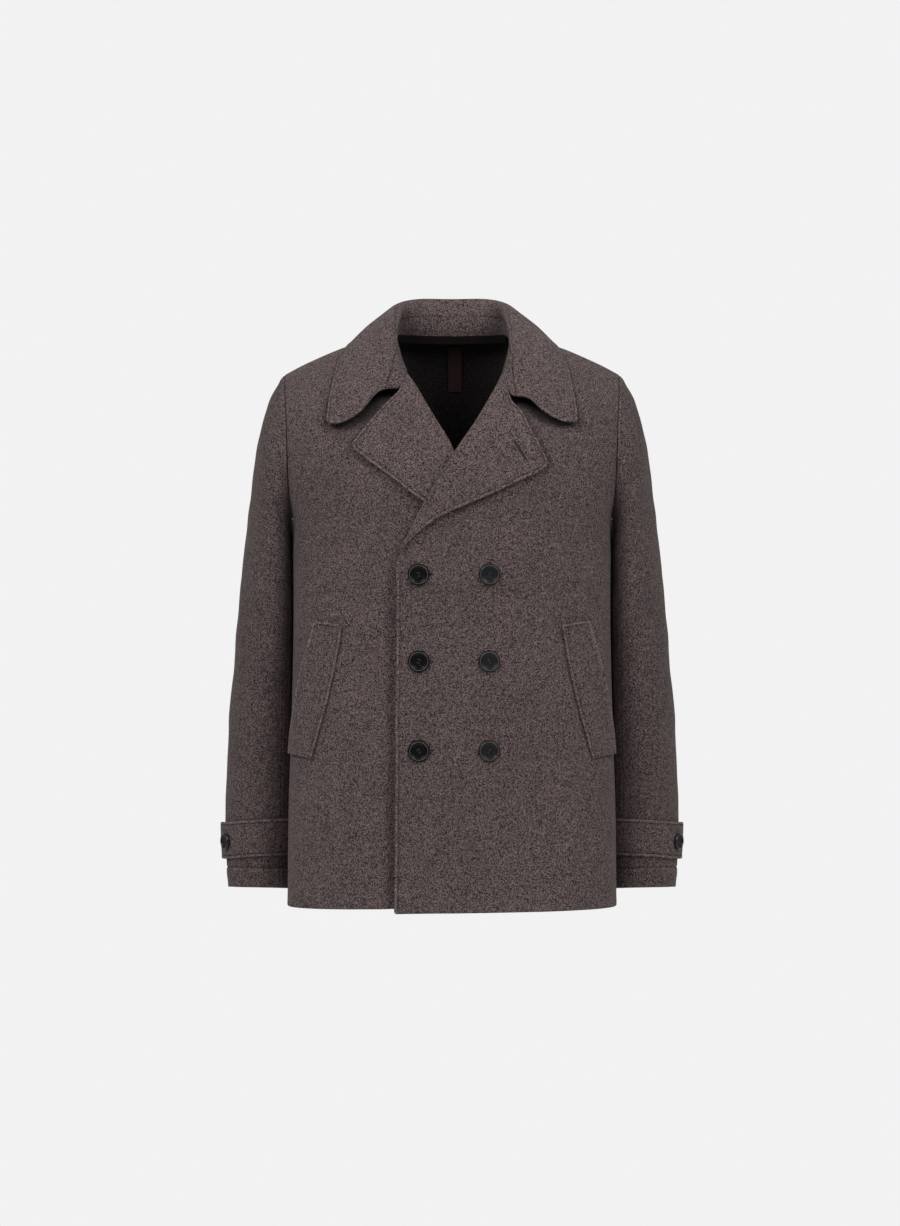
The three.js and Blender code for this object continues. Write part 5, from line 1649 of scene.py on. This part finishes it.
def build_buttonholes():
    """Bound slits: one on the top lapel, and the ends of those beneath the working buttons."""
    bm = bmesh.new()
    lean = math.radians(BUTTONHOLE["lean"])
    lift = BUTTONHOLE["lift"]
    centre, half = BUTTONHOLE["centre"], BUTTONHOLE["half"]
    tube(bm, loop_over(centre, half, 1.1, lean, lift, on_lapel), 0.00062, True)
    tube(bm, loop_over(centre, half * 0.93, 0.25, lean, lift - 0.2, on_lapel), 0.0005, True)
    for z in BUTTON_ROWS:
        eye = loop_over((EYES["x"], z), EYES["half"], 1.5, 0, EYES["lift"],
                        lambda x, z, lift: over_front(1, np.array(x), np.array(z), lift))
        tube(bm, eye, 0.0006, True)
    ends = [on_lapel(x, z, lift) for x, z in TACK]
    points = [Vector((mix(ends[0], ends[1], k / 4) * MM).tolist()) for k in range(5)]
    tube(bm, points, 0.0006, False)
    bmesh.ops.recalc_face_normals(bm, faces=bm.faces)
    return settle(object_from_bmesh("buttonholes", bm), [], ["buttonhole"])


def stitch_tree():
    """Geometry nodes that lay one stitch on each point, along the line it belongs to."""
    tree = bpy.data.node_groups.new("Stitches along a line", "GeometryNodeTree")
    face = tree.interface
    face.new_socket("Geometry", in_out="INPUT", socket_type="NodeSocketGeometry")
    for name, value in (("Stitch length", 0.0023), ("Stitch width", 0.0006)):
        socket = face.new_socket(name, in_out="INPUT", socket_type="NodeSocketFloat")
        socket.subtype = "DISTANCE"
        socket.default_value = value
    face.new_socket("Thread", in_out="INPUT", socket_type="NodeSocketMaterial")
    face.new_socket("Geometry", in_out="OUTPUT", socket_type="NodeSocketGeometry")
    given = tree.nodes.new("NodeGroupInput")
    result = tree.nodes.new("NodeGroupOutput")
    grain = add_node(tree, "GeometryNodeMeshUVSphere", {"Segments": 6, "Rings": 5, "Radius": 0.5})
    size = add_node(tree, "ShaderNodeCombineXYZ", {
        "X": given.outputs["Stitch length"], "Y": given.outputs["Stitch width"],
        "Z": given.outputs["Stitch width"],
    })
    shaped = add_node(tree, "GeometryNodeTransform", {
        "Geometry": grain.outputs["Mesh"], "Scale": size.outputs[0],
    })
    along = add_node(tree, "GeometryNodeInputNamedAttribute", {"Name": "along"},
                     data_type="FLOAT_VECTOR")
    up = add_node(tree, "GeometryNodeInputNamedAttribute", {"Name": "up"},
                  data_type="FLOAT_VECTOR")
    turn = add_node(tree, "FunctionNodeAxesToRotation", {
        "Primary Axis": along.outputs["Attribute"], "Secondary Axis": up.outputs["Attribute"],
    }, primary_axis="X", secondary_axis="Z")
    uneven = tree.nodes.new("FunctionNodeRandomValue")
    uneven.data_type = "FLOAT_VECTOR"
    uneven.inputs["Min"].default_value = (0.88, 0.85, 0.85)
    uneven.inputs["Max"].default_value = (1.08, 1.1, 1.1)
    uneven.inputs["Seed"].default_value = 7
    laid = add_node(tree, "GeometryNodeInstanceOnPoints", {
        "Points": given.outputs["Geometry"], "Instance": shaped.outputs["Geometry"],
        "Rotation": turn.outputs["Rotation"], "Scale": uneven.outputs["Value"],
    })
    plain = add_node(tree, "GeometryNodeRealizeInstances", {"Geometry": laid.outputs[0]})
    dyed = add_node(tree, "GeometryNodeSetMaterial", {
        "Geometry": plain.outputs[0], "Material": given.outputs["Thread"],
    })
    tree.links.new(dyed.outputs[0], result.inputs["Geometry"])
    return tree


def build_stitches():
    """All the edge stitches, laid along the lines that the pieces have kept."""
    sizes = bpy.context.scene.coat_sizes
    places, tangents, ups = [], [], []
    for line, normals in stitch_lines:
        steps = np.linalg.norm(np.diff(line, axis=0), axis=1)
        far = np.concatenate([[0], np.cumsum(steps)])
        marks = np.arange(0.5, far[-1] * MM / sizes.pitch - 0.5) * sizes.pitch / MM
        spot = np.stack([np.interp(marks, far, line[:, axis]) for axis in range(3)], -1)
        up = unit(np.stack([np.interp(marks, far, normals[:, axis]) for axis in range(3)], -1))
        if len(spot) < 2:
            continue
        places.append((spot + up * 0.12) * MM)
        tangents.append(unit(np.gradient(spot, axis=0)))
        ups.append(up)
    places = np.concatenate(places)
    mesh = bpy.data.meshes.new("stitch_places")
    mesh.from_pydata(places.tolist(), [], [])
    for name, values in (("along", tangents), ("up", ups)):
        attribute = mesh.attributes.new(name, "FLOAT_VECTOR", "POINT")
        attribute.data.foreach_set("vector", np.concatenate(values).ravel().astype(np.float32))
    holder = bpy.data.objects.new("stitch_places", mesh)
    bpy.context.scene.collection.objects.link(holder)
    sewn = holder.modifiers.new("Stitches", "NODES")
    sewn.node_group = stitch_tree()
    given = {"Stitch length": sizes.stitch, "Stitch width": sizes.stitch_width,
             "Thread": finish("thread")}
    for item in sewn.node_group.interface.items_tree:
        if item.in_out == "INPUT" and item.name in given:
            sewn[item.identifier] = given[item.name]
    stitches = bpy.data.objects.new("stitches", evaluated_mesh(holder, "stitches"))
    stitches.data.shade_smooth()
    if not len(stitches.data.polygons):
        raise RuntimeError("no stitches were laid")
    return settle(stitches, [], ["thread"])


def studio_world():
    """Soft light from all round, paler behind the coat, as from a lit wall."""
    world = bpy.data.worlds.new("studio")
    bpy.context.scene.world = world
    world.use_nodes = True
    tree = world.node_tree
    tree.nodes.clear()
    way = add_node(tree, "ShaderNodeTexCoord").outputs["Generated"]
    split = add_node(tree, "ShaderNodeSeparateXYZ", {0: way})
    behind = ranged(tree, split.outputs["Y"], WALL_FROM, WALL_FULL)
    height = ranged(tree, split.outputs["Z"], -1.0, 1.0, AMBIENT_LOW, AMBIENT_HIGH)
    level = add_node(tree, "ShaderNodeMix", {0: behind, 2: height, 3: WALL_LEVEL},
                     data_type="FLOAT").outputs[0]
    sky = add_node(tree, "ShaderNodeBackground", {"Color": (1, 1, 1, 1), "Strength": level})
    out = tree.nodes.new("ShaderNodeOutputWorld")
    tree.links.new(sky.outputs[0], out.inputs["Surface"])


WALL_LEVEL = 0.888
WALL_FROM, WALL_FULL = 0.70, 0.93
AMBIENT_LOW, AMBIENT_HIGH = 0.14, 0.4
# Softboxes: place, size and power
SOFTBOXES = {
    "left": ((-2.6, -3.5, 2.5), 2.2, 100.0),
    "right": ((2.6, -3.5, 2.5), 2.2, 100.0),
}
LIGHT_AIM = Vector((0, 0, -0.35))
CAMERA_X, CAMERA_Z = -0.0026, -0.3601
LENS = 112.94
FLOOR_Z, FLOOR_RADIUS = -1.62, 2.4


def build_stage():
    scene = bpy.context.scene
    scene.view_settings.view_transform = "Standard"
    camera = bpy.data.cameras.new("camera")
    camera.lens = LENS
    camera.sensor_fit = "VERTICAL"
    camera.sensor_height = 36
    camera.clip_end = 60
    eye = bpy.data.objects.new("camera", camera)
    eye.location = (CAMERA_X, -scene.coat_sizes.camera_distance, CAMERA_Z)
    eye.rotation_euler = (math.pi / 2, 0, 0)
    scene.collection.objects.link(eye)
    scene.camera = eye
    for name, (place, size, power) in SOFTBOXES.items():
        light = bpy.data.lights.new(name, "AREA")
        light.shape = "SQUARE"
        light.size = size
        light.energy = power
        box = bpy.data.objects.new(name, light)
        box.location = place
        box.rotation_mode = "QUATERNION"
        box.rotation_quaternion = (Vector(place) - LIGHT_AIM).to_track_quat("Z", "Y")
        scene.collection.objects.link(box)
    studio_world()
    bm = bmesh.new()
    bmesh.ops.create_circle(bm, cap_ends=True, segments=96, radius=FLOOR_RADIUS,
                            matrix=Matrix.Translation((0, 0, FLOOR_Z)))
    floor = object_from_bmesh("floor", bm)
    floor.data.materials.append(finish("paper"))


# The add-on's buttons, in the order in which the coat is made


class PEACOAT_OT_stage(bpy.types.Operator):
    """Make the camera, the lights and the pale floor"""

    bl_idname = "peacoat.stage"
    bl_label = "Stage"

    def execute(self, context):
        build_stage()
        return {"FINISHED"}


class PEACOAT_OT_backs(bpy.types.Operator):
    """Make the two halves of the back"""

    bl_idname = "peacoat.backs"
    bl_label = "Backs"

    def execute(self, context):
        for side in (1, -1):
            build_back(side)
        return {"FINISHED"}


class PEACOAT_OT_fronts(bpy.types.Operator):
    """Make the two fronts, the wearer's left one on top"""

    bl_idname = "peacoat.fronts"
    bl_label = "Fronts"

    def execute(self, context):
        for side in (1, -1):
            build_front(side)
        return {"FINISHED"}


class PEACOAT_OT_lapels(bpy.types.Operator):
    """Make the lapels, rolled over the edges of the fronts"""

    bl_idname = "peacoat.lapels"
    bl_label = "Lapels"

    def execute(self, context):
        for side in (1, -1):
            build_lapel(side)
        return {"FINISHED"}


class PEACOAT_OT_collar(bpy.types.Operator):
    """Make the collar's stand and fall"""

    bl_idname = "peacoat.collar"
    bl_label = "Collar"

    def execute(self, context):
        build_collar()
        return {"FINISHED"}


class PEACOAT_OT_sleeves(bpy.types.Operator):
    """Make the two-piece sleeves"""

    bl_idname = "peacoat.sleeves"
    bl_label = "Sleeves"

    def execute(self, context):
        for side in (1, -1):
            build_sleeve_piece(side, "top", SLEEVE_SEAM_FRONT + SLEEVE_SEAM_HALF,
                               SLEEVE_SEAM_BACK - SLEEVE_SEAM_HALF)
            build_sleeve_piece(side, "under", SLEEVE_SEAM_BACK + SLEEVE_SEAM_HALF,
                               360 + SLEEVE_SEAM_FRONT - SLEEVE_SEAM_HALF)
        return {"FINISHED"}


class PEACOAT_OT_straps(bpy.types.Operator):
    """Make the cuff straps"""

    bl_idname = "peacoat.straps"
    bl_label = "Cuff straps"

    def execute(self, context):
        for side in (1, -1):
            build_strap(side)
        return {"FINISHED"}


class PEACOAT_OT_welts(bpy.types.Operator):
    """Make the slanted pocket welts"""

    bl_idname = "peacoat.welts"
    bl_label = "Pocket welts"

    def execute(self, context):
        for side in (1, -1):
            build_welt(side)
        return {"FINISHED"}


class PEACOAT_OT_tapes(bpy.types.Operator):
    """Make the neck tape and the hanger strip"""

    bl_idname = "peacoat.tapes"
    bl_label = "Tapes"

    def execute(self, context):
        build_neck_tape()
        build_hanger_strip()
        return {"FINISHED"}


class PEACOAT_OT_buttons(bpy.types.Operator):
    """Turn the buttons and sew them on"""

    bl_idname = "peacoat.buttons"
    bl_label = "Buttons"

    def execute(self, context):
        build_buttons()
        return {"FINISHED"}


class PEACOAT_OT_buttonholes(bpy.types.Operator):
    """Make the buttonholes that show"""

    bl_idname = "peacoat.buttonholes"
    bl_label = "Buttonholes"

    def execute(self, context):
        build_buttonholes()
        return {"FINISHED"}


class PEACOAT_OT_stitches(bpy.types.Operator):
    """Lay the edge stitches on the pieces made so far"""

    bl_idname = "peacoat.stitches"
    bl_label = "Stitches"

    def execute(self, context):
        build_stitches()
        return {"FINISHED"}


STEPS = (
    PEACOAT_OT_stage, PEACOAT_OT_backs, PEACOAT_OT_fronts, PEACOAT_OT_lapels,
    PEACOAT_OT_collar, PEACOAT_OT_sleeves, PEACOAT_OT_straps, PEACOAT_OT_welts,
    PEACOAT_OT_tapes, PEACOAT_OT_buttons, PEACOAT_OT_buttonholes, PEACOAT_OT_stitches,
)


class PEACOAT_PT_panel(bpy.types.Panel):
    """Sizes, colours and pieces of the coat"""

    bl_idname = "PEACOAT_PT_panel"
    bl_label = "Pea coat"
    bl_space_type = "VIEW_3D"
    bl_region_type = "UI"
    bl_category = "Pea coat"

    def draw(self, context):
        for group in (context.scene.coat_sizes, context.scene.coat_colours):
            for name in group.__annotations__:
                self.layout.prop(group, name)
        for step in STEPS:
            self.layout.operator(step.bl_idname)


CLASSES = (CoatSizes, CoatColours, *STEPS, PEACOAT_PT_panel)


def register():
    for made in CLASSES:
        bpy.utils.register_class(made)
    bpy.types.Scene.coat_sizes = PointerProperty(type=CoatSizes)
    bpy.types.Scene.coat_colours = PointerProperty(type=CoatColours)


def unregister():
    del bpy.types.Scene.coat_colours
    del bpy.types.Scene.coat_sizes
    for made in reversed(CLASSES):
        bpy.utils.unregister_class(made)


def main():
    register()
    for step in STEPS:
        group, name = step.bl_idname.split(".")
        if getattr(getattr(bpy.ops, group), name)() != {"FINISHED"}:
            raise RuntimeError(f"{step.bl_label} wasn't made")


if __name__ == "__main__":
    main()
